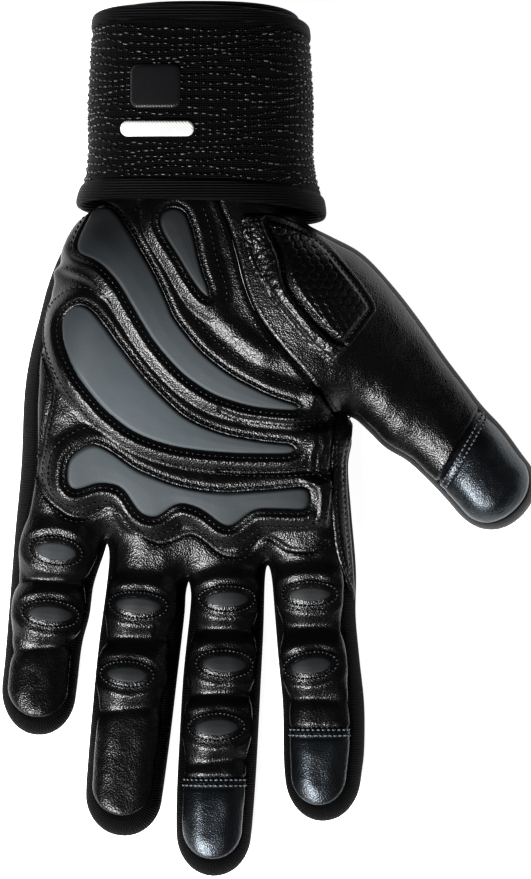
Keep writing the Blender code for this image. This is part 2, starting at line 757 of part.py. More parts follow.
def thumb_tip_rows(back):
    """Cross rows of the thumb's round end, as outer and inner points."""
    axis = np.array(THUMB_AXIS)
    across = np.array([-axis[1], axis[0]])
    half_width = THUMB_TIP_HALF_WIDTH - (BACK_INSET if back else THUMB_INSET)
    length = THUMB_TIP_LENGTH - THUMB_END_INSET
    rows = []
    for share in THUMB_END_SHARES:
        reach = half_width * (1 - share**THUMB_TIP_POWER) ** (1 / THUMB_TIP_POWER)
        centre = np.array(THUMB_TIP_CENTRE) + axis * length * share
        rows.append((*(centre + across * reach), *(centre - across * reach), 0.0))
    return rows


def thumb_lines(columns, rows, back, free_rows, with_tip):
    rows = inset_rows(rows, free_rows, BACK_INSET if back else THUMB_INSET)
    if with_tip:
        rows += thumb_tip_rows(back)
    return [thumb_line(row, columns) for row in rows]


def add_thumb_sheet(name, lines, look, back):
    count = len(lines[0])
    grid = [list(range(row * count, (row + 1) * count)) for row in range(len(lines))]
    add_skin(name, np.vstack(lines), grid_faces(grid), look, True, back)


def seam_row():
    """The thumb's first row, along the seam with the palm."""
    return (THUMB_SEAM[0][1] + SEAM_GAP * 0.7, THUMB_SEAM[0][0], THUMB_SEAM[-1][1] + SEAM_GAP * 0.7, CROTCH_ROW, 1.0)


def shift_row(row, distance):
    """A cross row of the thumb moved along the thumb."""
    step = np.array(THUMB_AXIS) * distance
    return (row[0] + step[0], row[1] + step[1], row[2] + step[0], row[3] + step[1], row[4])


def build_thumb():
    front_columns = [y for y, x in THUMB_SEAM]
    back_columns = [y for y in front_columns if y not in BACK_SKIPPED_ROWS]
    rows = [seam_row()] + THUMB_ROWS
    free = THUMB_FREE_ROWS + 1
    front = thumb_lines(front_columns, rows, False, free, False)
    cap_rows = [shift_row(THUMB_ROWS[-1], SEAM_GAP)] + THUMB_CAP_ROWS
    cap = thumb_lines(front_columns, cap_rows, False, 0, True)
    back = thumb_lines(back_columns, rows + THUMB_CAP_ROWS, True, free, True)
    add_thumb_sheet("thumb_panel", front, "leather", False)
    add_thumb_sheet("thumb_cap", cap, "grip", False)
    add_thumb_sheet("thumb_back", back, "leather", True)
    build_thumb_side(front + cap[1:], back, rows + THUMB_CAP_ROWS)


def thumb_outline_beyond(edge):
    """The outline's point beyond an edge point of the thumb's round end."""
    axis = np.array(THUMB_AXIS)
    across = np.array([-axis[1], axis[0]])
    away = np.array(edge) - THUMB_TIP_CENTRE
    along = abs(away @ axis) / THUMB_TIP_LENGTH
    aside = abs(away @ across) / THUMB_TIP_HALF_WIDTH
    stretch = (along**THUMB_TIP_POWER + aside**THUMB_TIP_POWER) ** (-1 / THUMB_TIP_POWER)
    return np.array(THUMB_TIP_CENTRE) + away * stretch


def build_thumb_side(front, back, rows):
    """The wall round the thumb, from the crotch past the tip to the wrist."""
    first = THUMB_FREE_ROWS + 1
    outer_side = []
    inner_side = []
    for index in range(first, len(front)):
        for side, edge, store in (("outer", 0, outer_side), ("inner", -1, inner_side)):
            front_edge = front[index][edge]
            back_edge = back[index][edge]
            if index < len(rows):
                outline = np.array(rows[index][0:2] if side == "outer" else rows[index][2:4])
            else:
                outline = thumb_outline_beyond(front_edge)
            if np.linalg.norm(front_edge - outline) > KNIT:
                store.append((outline, front_edge, back_edge))
    axis = np.array(THUMB_AXIS)
    tip = np.array(THUMB_TIP_CENTRE) + axis * THUMB_TIP_LENGTH
    edge = (front[-1][0] + front[-1][-1]) / 2
    back_edge = (back[-1][0] + back[-1][-1]) / 2
    gap = np.array([0.0, SEAM_GAP / 2])
    crotch_edge = np.array([THUMB_SEAM[-1][1] + SEAM_GAP, CROTCH_ROW]) + gap
    stations = [(np.array(CROTCH) + gap, crotch_edge, crotch_edge)]
    stations += inner_side + [(tip, edge, back_edge)] + outer_side[::-1]
    build_band("thumb_side", stations, "leather", True)


def pad_ring(spec, stations):
    """The closed outline of an inlay, with its two ends at the start and half way round."""
    first, last = spec["ends"]
    side_a = resample(smooth_curve([first] + spec["side_a"] + [last], SMOOTH_STEPS), stations + 1)
    side_b = resample(smooth_curve([first] + spec["side_b"] + [last], SMOOTH_STEPS), stations + 1)
    return np.vstack([side_a[:-1], side_b[:0:-1]])


def widen(ring, width):
    """A ring moved outwards by a width, or inwards by a negative one."""
    width = np.reshape(width, (-1, 1))
    runs = np.roll(ring, -1, axis=0) - ring
    area = 0.5 * np.sum(ring[:, 0] * runs[:, 1] - runs[:, 0] * ring[:, 1])
    normals = np.column_stack([runs[:, 1], -runs[:, 0]]) * math.copysign(1.0, area)
    normals /= np.linalg.norm(normals, axis=1)[:, None]
    before = np.roll(normals, 1, axis=0)
    bisector = normals + before
    bisector /= np.linalg.norm(bisector, axis=1)[:, None]
    sharpest = SHARP_CORNER if np.abs(width).max() <= NARROW_WIDTH else WIDE_CORNER
    cosine = np.maximum((bisector * normals).sum(axis=1), 1 / sharpest)[:, None]
    return ring + bisector / cosine * width


class Body:
    """Collects the points and faces of one closed piece on the palm side."""

    def __init__(self, thumb):
        self.thumb = thumb
        self.points = []
        self.faces = []

    def add_ring(self, ring, height):
        start = len(self.points)
        self.points += list(on_front(ring, np.full(len(ring), height), self.thumb))
        return list(range(start, start + len(ring)))

    def join(self, lower, upper):
        count = len(lower)
        for index in range(count):
            after = (index + 1) % count
            self.faces.append((lower[index], lower[after], upper[after], upper[index]))

    def fill(self, ring, indices, height, inner):
        """Fills a ring with cross lines between its two sides, each with some inner points."""
        count = len(ring)
        half = count // 2
        shares = [(step + 1) / (inner + 1) for step in range(inner)]
        lines = []
        for index in range(1, half):
            start = ring[index]
            end = ring[count - index]
            line = [indices[index]]
            if shares:
                cross = np.array([start + (end - start) * share for share in shares])
                line += self.add_ring(cross, height)
            lines.append(line + [indices[count - index]])
        for tip, line in ((indices[0], lines[0]), (indices[half], lines[-1])):
            for index in range(len(line) - 1):
                self.faces.append((tip, line[index], line[index + 1]))
        self.faces += grid_faces(lines)

    def add_to_scene(self, name, look):
        add_object(name, self.points, self.faces, look)


def limit_ring(ring):
    """Keeps a ring's points clear of the wrist wrap."""
    return np.column_stack([ring[:, 0], np.minimum(ring[:, 1], WRAP_EDGE_Y)])


def build_pad(name, ring, ridge, ridge_rows, lip, inlay_thickness, fills):
    """A padded piece with a ridge round a recess, and the inlay that lies in the recess."""
    room = distance_to(OUTLINE, ring) - PAD_EDGE_MARGIN
    width = np.minimum(ridge, np.maximum(room, ridge / 3))
    pad = Body(False)
    outer = limit_ring(widen(ring, width))
    bottom = pad.add_ring(outer, PAD_LIFT)
    below = bottom
    for share, height in ridge_rows:
        level = pad.add_ring(limit_ring(widen(ring, width * share)), PAD_LIFT + height)
        pad.join(below, level)
        below = level
    recess = widen(ring, SEAM_GAP)
    lip_ring = pad.add_ring(recess, PAD_LIFT + lip)
    pad.join(below, lip_ring)
    floor = PAD_LIFT + FLOOR_THICKNESS
    floor_ring = pad.add_ring(recess, floor)
    pad.join(lip_ring, floor_ring)
    pad.fill(recess, floor_ring, floor, fills[0])
    pad.fill(outer, bottom, PAD_LIFT, fills[1])
    pad.add_to_scene(f"pad_{name}", "leather")

    inlay = Body(False)
    underside = floor + SEAM_GAP
    upper_face = underside + inlay_thickness
    under = inlay.add_ring(ring, underside)
    side = inlay.add_ring(ring, upper_face - INLAY_BEVEL / 2)
    top_outline = widen(ring, -INLAY_BEVEL)
    top = inlay.add_ring(top_outline, upper_face)
    inlay.join(under, side)
    inlay.join(side, top)
    inlay.fill(ring, under, underside, fills[0])
    inlay.fill(top_outline, top, upper_face, fills[0])
    inlay.add_to_scene(f"inlay_{name}", "inlay")


def build_palm_pads():
    for name, spec in PALM_PADS.items():
        ring = pad_ring(spec, spec["stations"])
        build_pad(name, ring, spec["ridge"], RIDGE_ROWS, LIP_HEIGHT, INLAY_THICKNESS, (1, 4))


def build_finger_pads():
    for name, x, y, length, height, tilt in FINGER_PADS:
        turn = math.radians(tilt)
        ring = []
        for index in range(2 * FINGER_PAD_STATIONS):
            angle = math.pi + math.pi * index / FINGER_PAD_STATIONS
            along = math.cos(angle) * length / 2
            across = math.sin(angle) * height / 2
            ring.append(
                (
                    x + along * math.cos(turn) - across * math.sin(turn),
                    y + along * math.sin(turn) + across * math.cos(turn),
                )
            )
        rows = FINGER_RIDGE_ROWS
        build_pad(name, np.array(ring), FINGER_PAD_RIDGE, rows, FINGER_LIP_HEIGHT, FINGER_INLAY_THICKNESS, (1, 2))


def build_patch(name, spec, thumb, inner):
    """A flat-topped piece with a rounded edge that lies on the skin."""
    ring = pad_ring(spec, spec["stations"])
    patch = Body(thumb)
    bottom = patch.add_ring(ring, PAD_LIFT)
    side = patch.add_ring(ring, PAD_LIFT + spec["height"] / 2)
    top_outline = widen(ring, -spec["height"] / 2)
    top = patch.add_ring(top_outline, PAD_LIFT + spec["height"])
    patch.join(bottom, side)
    patch.join(side, top)
    patch.fill(ring, bottom, PAD_LIFT, inner)
    patch.fill(top_outline, top, PAD_LIFT + spec["height"], inner)
    patch.add_to_scene(name, "leather")


def wrap_edge(edge, angle):
    middle, lean, skew = edge
    return middle + lean * math.sin(angle) - skew * math.cos(angle)


def wrap_point(angle, y, level):
    """A point of the wrap, at an angle round it and a level off its outer face."""
    half_width = float(read_table(WRAP_ROWS, 1, y))
    height = float(read_table(WRAP_ROWS, 2, y)) + WRAP_SINK
    power = WRAP_UPPER_POWER if math.sin(angle) > 0 else WRAP_LOWER_POWER
    side = math.copysign(abs(math.cos(angle)) ** (2 / power), math.cos(angle))
    rise = math.copysign(abs(math.sin(angle)) ** (2 / power), math.sin(angle))
    x = side * (half_width + level)
    z = rise * (height / 2 + level)
    return (WRAP_MIDDLE_X + x, y, max(0.0, height / 2 - WRAP_SINK + z))


def build_ring(name, profile):
    """A closed ring round the wrist. Its profile gives the y at an angle, and a level, all round."""
    points = []
    grid = []
    for side in range(WRAP_SIDES):
        angle = 2 * math.pi * side / WRAP_SIDES
        start = len(points)
        points += [wrap_point(angle, place(angle), level) for place, level in profile]
        grid.append(list(range(start, len(points))) + [start])
    add_object(name, points, grid_faces(grid + [grid[0]]), "wrap")


def between(low, high, share):
    """A place between two edges of the wrap, as a function of the angle."""
    return lambda angle: low(angle) + (high(angle) - low(angle)) * share


def build_layer(name, low, high, levels, steps):
    outer, inner = levels
    profile = [(between(low, high, step / steps), outer) for step in range(steps + 1)]
    profile += [(between(low, high, 1 - step / 2), inner) for step in range(3)]
    build_ring(name, profile)


def build_binding(name, low, height, levels):
    """A ribbed binding, with a rounded section."""
    outer, inner = levels
    high = lambda angle: low(angle) + height
    shoulder = 0.18
    waist = (outer - inner) * 0.3
    profile = [
        (low, outer - waist),
        (between(low, high, shoulder), outer),
        (between(low, high, 1 - shoulder), outer),
        (high, outer - waist),
        (high, inner),
        (low, inner),
    ]
    build_ring(name, profile)


def build_wrap():
    bindings = WRAP_BINDINGS
    bottom = lambda angle: wrap_edge(WRAP_LOW_EDGE, angle)
    top = lambda angle: wrap_edge(WRAP_HIGH_EDGE, angle)
    inner_bottom = lambda angle: wrap_edge(WRAP_INNER_LOW_EDGE, angle)
    inner_top = lambda angle: wrap_edge(WRAP_INNER_HIGH_EDGE, angle)
    fabric_low = lambda angle: bottom(angle) + bindings["bottom"]["height"] + SEAM_GAP
    fabric_high = lambda angle: top(angle) - bindings["top"]["height"] - SEAM_GAP
    inner_high = lambda angle: inner_top(angle) - bindings["inner"]["height"] - SEAM_GAP
    build_layer("wrap_outer", fabric_low, fabric_high, WRAP_OUTER_LEVELS, 3)
    build_layer("wrap_inner", inner_bottom, inner_high, WRAP_INNER_LEVELS, 2)
    build_binding("wrap_binding_bottom", bottom, bindings["bottom"]["height"], bindings["bottom"]["levels"])
    top_low = lambda angle: top(angle) - bindings["top"]["height"]
    build_binding("wrap_binding_top", top_low, bindings["top"]["height"], bindings["top"]["levels"])
    inner_low = lambda angle: inner_top(angle) - bindings["inner"]["height"]
    build_binding("wrap_binding_inner", inner_low, bindings["inner"]["height"], bindings["inner"]["levels"])


clear_scene()
build_hand_sheet("palm_panel", False)
build_hand_sheet("back_panel", True)
build_finger_cap("middle")
build_finger_cap("index")
build_finger_walls()
build_thumb()
build_palm_pads()
build_finger_pads()
build_patch("index_edge_strip", EDGE_STRIP, False, 1)
build_patch("thenar_patch", THENAR_PATCH, True, 5)
build_wrap()
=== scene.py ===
# %% [markdown]
# A padded weightlifting glove, seen from straight above.
#
# The glove lies on its back with the palm up. Its skin is one rule: the height over the table grows
# with the distance from the outline, as a filled glove does. Every leather, knit and padded piece
# below is a fine mesh laid on that rule, with its own relief: ridges, stitch grooves, creases.

import math

import bmesh
import bpy
import numpy as np
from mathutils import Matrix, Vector, kdtree, noise


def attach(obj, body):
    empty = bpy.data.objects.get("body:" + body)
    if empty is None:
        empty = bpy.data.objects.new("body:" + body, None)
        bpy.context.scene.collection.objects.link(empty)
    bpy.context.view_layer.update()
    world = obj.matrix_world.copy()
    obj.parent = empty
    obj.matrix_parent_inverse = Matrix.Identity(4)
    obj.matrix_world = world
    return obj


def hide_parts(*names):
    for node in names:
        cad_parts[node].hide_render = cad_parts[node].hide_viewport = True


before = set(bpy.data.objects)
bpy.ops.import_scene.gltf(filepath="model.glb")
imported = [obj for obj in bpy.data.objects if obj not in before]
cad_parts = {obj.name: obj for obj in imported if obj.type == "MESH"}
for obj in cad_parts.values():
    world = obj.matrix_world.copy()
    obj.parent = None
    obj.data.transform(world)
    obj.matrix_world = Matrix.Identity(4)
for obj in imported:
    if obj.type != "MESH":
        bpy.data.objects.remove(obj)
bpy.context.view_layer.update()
MM = 0.001

# %% [markdown]
# The sizes of the glove, in millimetres. The outline is given by the sides of the palm and fingers,
# a half ellipse ends each finger, and the heights come from short tables along the hand.

# %% Sizes
ROUNDNESS = 2.2  # power of the superellipse in which the skin rises
REACH_SHARE = 0.9  # width of that rise, as a share of its height
SMOOTH_STEPS = 5
HEIGHT_ROWS = [  # y, then the skin's top and its widest level
    (-146.0, 16.5, 7.0), (-100.0, 18.4, 7.8), (-62.0, 20.0, 8.6), (-45.0, 23.0, 9.8), (-25.0, 28.5, 11.8),
    (0.0, 33.5, 14.0), (30.0, 37.0, 15.8), (46.0, 38.6, 18.0), (57.0, 39.8, 20.5), (70.0, 40.0, 20.5),
]
THUMB_ROOT = (30.0, 30.0)
THUMB_AXIS = (0.712, -0.702)
THUMB_HEIGHT_ROWS = [  # the same, by the distance along the thumb
    (-60.0, 40.0, 20.0), (0.0, 36.5, 15.5), (30.0, 31.0, 12.5), (60.0, 26.0, 11.0), (100.0, 21.5, 9.5),
]
THUMB_BLEND = 25.0
MOUNDS = [(32.0, 32.0, 24.0, 3.0), (-30.0, 24.0, 20.0, 1.5), (6.0, 6.0, 24.0, -2.0)]  # x, y, radius, height
LIFT = 5.0  # the back leaves the table under the wrist, between two y
LIFT_FROM, LIFT_TO = 38.0, 50.0
SIDES = {  # y and x along each side
    "palm_left": [
        (66.0, -28.6), (61.0, -28.9), (57.0, -31.0), (52.5, -36.3), (43.5, -41.7), (34.5, -45.3), (25.5, -47.7),
        (12.0, -51.0), (0.0, -52.6), (-20.0, -53.5), (-40.0, -55.4),
    ],
    "little_left": [(-60.0, -57.0), (-78.0, -58.5), (-87.0, -59.4)],
    "little_right": [(-46.5, -29.1), (-55.5, -32.1), (-64.5, -33.3), (-73.5, -35.6), (-87.0, -37.2)],
    "ring_left": [(-46.5, -27.1), (-55.5, -27.9), (-73.5, -30.3), (-91.5, -32.1), (-105.0, -33.3), (-118.5, -34.2)],
    "ring_right": [(-58.0, -4.4), (-64.5, -4.8), (-82.5, -6.9), (-100.5, -9.0), (-118.5, -11.4)],
    "middle_left": [(-58.0, -2.6), (-64.5, -3.0), (-82.5, -4.9), (-100.5, -6.0), (-118.5, -6.9), (-130.0, -7.0)],
    "middle_right": [(-53.0, 19.4), (-69.0, 18.9), (-87.0, 18.0), (-105.0, 17.1), (-118.0, 16.3), (-130.0, 15.3)],
    "index_left": [(-53.0, 21.6), (-64.5, 22.6), (-78.0, 23.7), (-91.5, 25.0), (-105.0, 25.2), (-112.0, 25.5)],
    "index_right": [
        (-10.5, 45.6), (-19.5, 44.3), (-33.0, 45.2), (-51.0, 46.7), (-64.5, 46.6), (-78.0, 47.8), (-91.5, 49.2),
        (-105.0, 49.2), (-112.0, 48.4),
    ],
}
FINGERS = {
    "little": {"tip": -100.8, "leather_end": -95.0, "round_from": -86.0, "left_inset": 1.8, "right_inset": 2.4},
    "ring": {"tip": -131.1, "leather_end": -124.5, "round_from": -115.5, "left_inset": 1.8, "right_inset": 3.2},
    "middle": {"tip": -143.1, "leather_end": -137.6, "round_from": -128.5, "left_inset": 1.8, "right_inset": 2.8},
    "index": {"tip": -126.6, "leather_end": -121.4, "round_from": -112.0, "left_inset": 1.8, "right_inset": 4.4},
}
# y of each cap's seam, and how far the leathers stay inside the outline
CAP_SEAMS = {"middle": -113.2, "index": -98.2}
PALM_INSET_ROWS = [(-60.0, 1.8), (-45.0, 2.6), (-25.0, 4.6), (0.0, 4.4), (30.0, 2.2), (70.0, 2.0)]
BACK_INSET = 2.6
THUMB_INSET = 1.3
# x and y of each web, and x at the wrist of the line that runs up from it
WEBS = {"little_ring": (-27.9, -43.0), "ring_middle": (-3.4, -54.3), "middle_index": (20.4, -49.5)}
WEB_INSET = 1.7
WEB_ROUND = 8.0
RAY_TOPS = {"little_ring": -22.0, "ring_middle": -13.5, "middle_index": -5.0}
CROTCH_ROW = -4.4
BEYOND_WRIST = 130.0  # y that the outline runs on to
PANEL_END = 78.0  # y past the last row, so that the leather isn't rolled at the wrist
CROTCH = (42.4, -4.3)
THUMB_SEAM = [
    (66.0, 3.4), (57.0, 6.2), (52.5, 8.2), (43.5, 11.0), (34.0, 13.5), (25.0, 17.4), (17.0, 23.1), (9.0, 30.3),
    (2.0, 35.5), (-4.4, 39.3),
]
THUMB_ROWS = [  # outer end, inner end, and how much of the seam's bow a row keeps
    (3.4, 66.0, 39.3, -4.4, 1.0), (12.0, 66.0, 40.2, -3.4, 1.05), (20.0, 66.0, 40.9, -2.8, 1.1),
    (28.6, 66.0, 42.6, -4.4, 1.3), (30.0, 57.0, 43.4, -4.4, 0.9), (31.8, 52.6, 44.4, -4.6, 0.6),
    (39.0, 48.8, 45.8, -5.1, 0.4), (48.6, 43.5, 47.4, -6.0, 0.2), (58.0, 33.6, 51.2, -9.6, 0.0),
    (66.0, 23.3, 56.0, -14.3, 0.0), (73.0, 13.2, 62.0, -17.8, 0.0), (79.3, 4.9, 66.8, -22.0, 0.0),
    (84.6, -2.0, 70.4, -25.6, 0.0), (90.6, -8.4, 75.0, -30.6, 0.0),
]
THUMB_FREE_ROWS = 3  # the rows from here on stay inside the outline
THUMB_CAP_FROM = 12  # the row of the cap's seam
THUMB_TIP_CENTRE = (87.6, -25.7)
THUMB_TIP_HALF_WIDTH = 12.8
THUMB_TIP_LENGTH = 12.6
THUMB_TIP_POWER = 2.2
THUMB_END_INSET = 3.0

# %% [markdown]
# The padded parts. Each palm inlay is given by its two ends and its two sides, as they run in plan,
# and each finger inlay is an oval between two joints.

# %% Pads, seams and stitch lines
PALM_INLAYS = {
    "small": {
        "ends": [(-7.5, 57.4), (3.3, 30.2)],
        "side_a": [(-4.4, 56.0), (-2.9, 52.9), (-1.7, 49.1), (-0.6, 43.6), (0.9, 38.1), (2.6, 33.8)],
        "side_b": [(-10.7, 56.2), (-11.9, 53.4), (-11.0, 50.2), (-8.8, 46.4), (-6.3, 42.6), (-3.6, 38.1), (0.2, 32.6)],
    },
    "long": {
        "ends": [(-27.8, 56.8), (29.8, -1.7)],
        "side_a": [
            (-24.2, 55.4), (-20.4, 50.0), (-17.4, 44.3), (-13.9, 38.1), (-10.1, 30.1), (-8.1, 25.3), (-4.3, 20.1),
            (0.0, 15.2), (4.4, 11.4), (10.0, 7.4), (15.5, 4.4), (20.0, 2.2), (25.0, 0.3), (28.6, -0.8),
        ],
        "side_b": [
            (-30.6, 55.0), (-33.2, 50.4), (-35.2, 46.0), (-35.2, 43.2), (-32.2, 42.0), (-28.8, 40.1), (-24.4, 35.0),
            (-20.0, 27.7), (-17.1, 22.8), (-13.3, 17.0), (-6.0, 8.8), (0.0, 4.3), (5.0, 1.5), (10.0, -0.2),
            (14.8, -1.5), (20.0, -2.3), (28.6, -2.8),
        ],
    },
    "middle": {
        "ends": [(-35.4, 28.5), (29.2, -14.3)],
        "side_a": [
            (-32.3, 27.3), (-29.9, 24.6), (-23.6, 15.9), (-16.4, 6.7), (-10.0, 0.1), (-5.0, -4.4), (0.0, -7.2),
            (5.0, -9.2), (10.0, -10.6), (20.0, -12.2), (27.2, -12.9),
        ],
        "side_b": [
            (-39.0, 25.2), (-39.9, 21.5), (-39.7, 17.0), (-37.8, 11.0), (-35.1, 5.6), (-30.2, -0.6), (-26.8, -4.0),
            (-19.8, -9.2), (-10.0, -13.0), (0.0, -14.8), (10.0, -15.6), (20.0, -15.8), (27.2, -15.6),
        ],
    },
    "wavy": {
        "ends": [(-39.4, -22.0), (32.8, -28.8)],
        "side_a": [
            (-38.9, -18.2), (-37.1, -15.5), (-31.9, -12.8), (-26.8, -14.8), (-20.0, -19.6), (-15.0, -22.0),
            (-7.6, -24.9), (0.0, -26.5), (5.0, -27.0), (10.0, -27.1), (20.0, -26.5), (30.6, -25.6), (32.4, -26.6),
        ],
        "side_b": [
            (-39.2, -24.8), (-37.1, -26.4), (-31.6, -24.8), (-28.8, -24.4), (-23.3, -25.8), (-19.5, -31.0),
            (-17.4, -33.5), (-14.6, -34.5), (-12.2, -34.2), (-7.7, -31.0), (-4.3, -30.5), (0.9, -32.4),
            (6.5, -36.6), (9.2, -37.3), (12.0, -35.5), (16.9, -32.2), (25.0, -32.1), (31.4, -32.2), (32.7, -30.8),
        ],
    },
}
FINGER_INLAYS = [  # name, x and y of the middle, length, height, tilt in degrees
    ("little_1", -42.8, -44.6, 11.0, 6.0, -8.0), ("little_2", -44.8, -63.6, 11.8, 5.5, -5.0),
    ("ring_1", -18.0, -61.1, 12.0, 5.5, -3.0), ("ring_2", -21.1, -82.1, 11.0, 5.3, -3.0),
    ("middle_1", 8.2, -59.1, 10.9, 5.3, 0.0), ("middle_2", 7.3, -78.9, 11.6, 5.7, -1.0),
    ("middle_3", 5.2, -97.8, 11.6, 5.6, 2.0), ("index_1", 33.2, -57.6, 11.3, 4.9, 0.0),
    ("index_2", 33.8, -79.3, 11.0, 5.5, 8.0),
]

# Stitched grooves that run on past the pads.
SCALLOP_SEAM = [
    (-45.4, -29.0), (-42.7, -31.7), (-38.9, -34.5), (-34.4, -34.8), (-30.9, -33.5), (-25.4, -31.7), (-19.3, -38.0),
    (-13.5, -42.3), (-9.0, -42.0), (-4.2, -39.9), (0.3, -40.8), (5.4, -45.3), (9.8, -46.7), (14.1, -45.3),
    (18.6, -40.9), (22.9, -42.0), (27.2, -44.6), (33.8, -45.0), (38.1, -42.3),
]
LEFT_SEAM = [
    (-43.0, 39.0), (-45.0, 30.0), (-46.2, 22.0), (-46.2, 16.0), (-44.8, 10.0), (-43.6, 5.0), (-44.0, -1.0),
    (-45.5, -8.0), (-46.5, -14.0), (-47.7, -22.7), (-45.4, -29.0),
]
VALLEY_SEAMS = [
    [(6.0, -2.8), (12.0, -5.2), (20.0, -6.2), (29.0, -6.9), (38.0, -6.8)],
    [(6.0, -20.9), (16.0, -21.4), (28.0, -21.2), (38.0, -20.5)],
]

# Soft folds that stand up from the leather: height, half width, then the line.
FOLDS = [
    (1.3, 1.0, [(-31.5, 56.0), (-34.6, 50.5), (-37.6, 44.0)]),
    (1.0, 0.8, [(-29.2, 57.5), (-34.6, 53.6), (-39.4, 47.0)]),
    (1.4, 1.5, [(-43.0, 37.0), (-39.6, 38.4), (-36.0, 37.8), (-31.0, 35.2), (-28.0, 32.0)]),
    (1.2, 3.4, [(-1.0, 33.0), (4.0, 27.0), (10.5, 20.5), (19.0, 14.0)]),
]

# %% [markdown]
# Lines and heights come from a few numbers each. Straight steps between them would show as facets in
# the leather's shine, so a smooth curve runs through each table and each line.

# %% Curves


def read_table(rows, column, at):
    """Reads one column of a table at some places, with a smooth curve through its rows."""
    table = np.array(rows, dtype=float)
    table = table[np.argsort(table[:, 0])]
    keys, values = table[:, 0], table[:, column]
    slopes = np.gradient(values, keys)
    at = np.asarray(at, dtype=float)
    left = np.clip(np.searchsorted(keys, at) - 1, 0, len(keys) - 2)
    span = keys[left + 1] - keys[left]
    t = np.clip((at - keys[left]) / span, 0.0, 1.0)
    start = (2 * t**3 - 3 * t**2 + 1) * values[left] + (t**3 - 2 * t**2 + t) * span * slopes[left]
    end = (3 * t**2 - 2 * t**3) * values[left + 1] + (t**3 - t**2) * span * slopes[left + 1]
    return start + end


def smooth_curve(points, steps=SMOOTH_STEPS):
    """A smooth open curve through the points."""
    points = np.array(points, dtype=float)
    padded = np.vstack([2 * points[0] - points[1], points, 2 * points[-1] - points[-2]])
    curve = []
    for index in range(1, len(padded) - 2):
        a, b, c, d = padded[index - 1 : index + 3]
        for t in np.arange(steps) / steps:
            cubic = (3 * b - a - 3 * c + d) * t**3
            curve.append(0.5 * (2 * b + (c - a) * t + (2 * a - 5 * b + 4 * c - d) * t**2 + cubic))
    return np.array(curve + [points[-1]])


def run_lengths(points):
    """The length of a curve up to each of its points."""
    return np.concatenate([[0.0], np.cumsum(np.linalg.norm(np.diff(points, axis=0), axis=1))])


def resample(points, count):
    """The same curve with a number of points at equal distances."""
    lengths = run_lengths(points)
    at = np.linspace(0.0, lengths[-1], count)
    return np.column_stack([np.interp(at, lengths, points[:, axis]) for axis in range(points.shape[1])])


def line_length(points):
    return float(np.linalg.norm(np.diff(points, axis=0), axis=1).sum())


def smoothstep(value):
    value = np.clip(value, 0.0, 1.0)
    return value * value * (3 - 2 * value)


def bell(away, width):
    return np.exp(-((away / width) ** 2))


def swell(share):
    """How far a filled skin has risen at a share of its rounding, from 0 at its edge to 1."""
    share = np.clip(share, 0.0, 1.0)
    return (1 - (1 - share) ** ROUNDNESS) ** (1 / ROUNDNESS)


def swap(rows):
    return [(x, y) for y, x in rows]


# %% [markdown]
# A filled skin and everything on it follows distances: from the outline, from an inlay, from a seam.
# A search for the nearest point would be slow for each of them and its slope would jump. So each line
# is measured once on a fine raster, which is then read with a cubic B-spline.

# %% Distance fields


def spline_weights(t):
    return ((1 - t) ** 3 / 6, (3 * t**3 - 6 * t**2 + 4) / 6, (-3 * t**3 + 3 * t**2 + 3 * t + 1) / 6, t**3 / 6)


def line_tree(line):
    tree = kdtree.KDTree(len(line))
    for index, (x, y) in enumerate(line):
        tree.insert((x, y, 0.0), index)
    tree.balance()
    return tree


class Field:
    """The distance in plan from a line. It is negative inside a closed line."""

    def __init__(self, line, margin, closed=True, cell=0.4):
        line = np.asarray(line, dtype=float)
        loop = np.vstack([line, line[:1]]) if closed else line
        tree = line_tree(resample(loop, int(line_length(loop) / 0.12) + 2))
        self.cell = cell
        self.low = loop.min(axis=0) - margin
        columns, rows = (np.ceil((loop.max(axis=0) + margin - self.low) / cell) + 1).astype(int)
        xs = self.low[0] + cell * np.arange(columns)
        ys = self.low[1] + cell * np.arange(rows)
        away = np.array([tree.find((x, y, 0.0))[2] for y in ys for x in xs]).reshape(rows, columns)
        inside = np.zeros(away.shape, dtype=bool)
        for row, y in enumerate(ys if closed else []):
            crossed = (loop[:-1, 1] > y) != (loop[1:, 1] > y)
            start, end = loop[:-1][crossed], loop[1:][crossed]
            cuts = start[:, 0] + (y - start[:, 1]) * (end[:, 0] - start[:, 0]) / (end[:, 1] - start[:, 1])
            inside[row] = np.searchsorted(np.sort(cuts), xs) % 2 == 1
        self.values = np.where(inside, -away, away)

    def at(self, points):
        spot = (np.asarray(points, dtype=float) - self.low) / self.cell
        base = np.clip(np.floor(spot).astype(int), 1, np.array(self.values.shape[::-1]) - 3)
        share = np.clip(spot - base, 0.0, 1.0)
        across, down = spline_weights(share[:, 0]), spline_weights(share[:, 1])
        total = np.zeros(len(spot))
        for j in range(4):
            for i in range(4):
                total += across[i] * down[j] * self.values[base[:, 1] + j - 1, base[:, 0] + i - 1]
        return total


# %% [markdown]
# The outline runs from the wrist's left side round every fingertip to its right side. Each finger
# ends in half an ellipse and the thumb in half a superellipse, which is a little squarer.

# %% Outline


def side_rows(finger, side):
    if (finger, side) == ("little", "left"):
        return SIDES["palm_left"] + SIDES["little_left"]
    return SIDES[f"{finger}_{side}"]


def tip_ellipse(finger):
    """Centre and half axes of the half ellipse that ends a finger."""
    y, left = side_rows(finger, "left")[-1]
    right = side_rows(finger, "right")[-1][1]
    return np.array([(left + right) / 2, y]), (right - left) / 2, y - FINGERS[finger]["tip"]


def tip_points(finger, count=9):
    centre, half_width, length = tip_ellipse(finger)
    angles = np.linspace(math.pi, 2 * math.pi, count)
    return [(centre[0] + half_width * math.cos(a), centre[1] + length * math.sin(a)) for a in angles[1:-1]]


AXIS = np.array(THUMB_AXIS)
ACROSS = np.array([-AXIS[1], AXIS[0]])


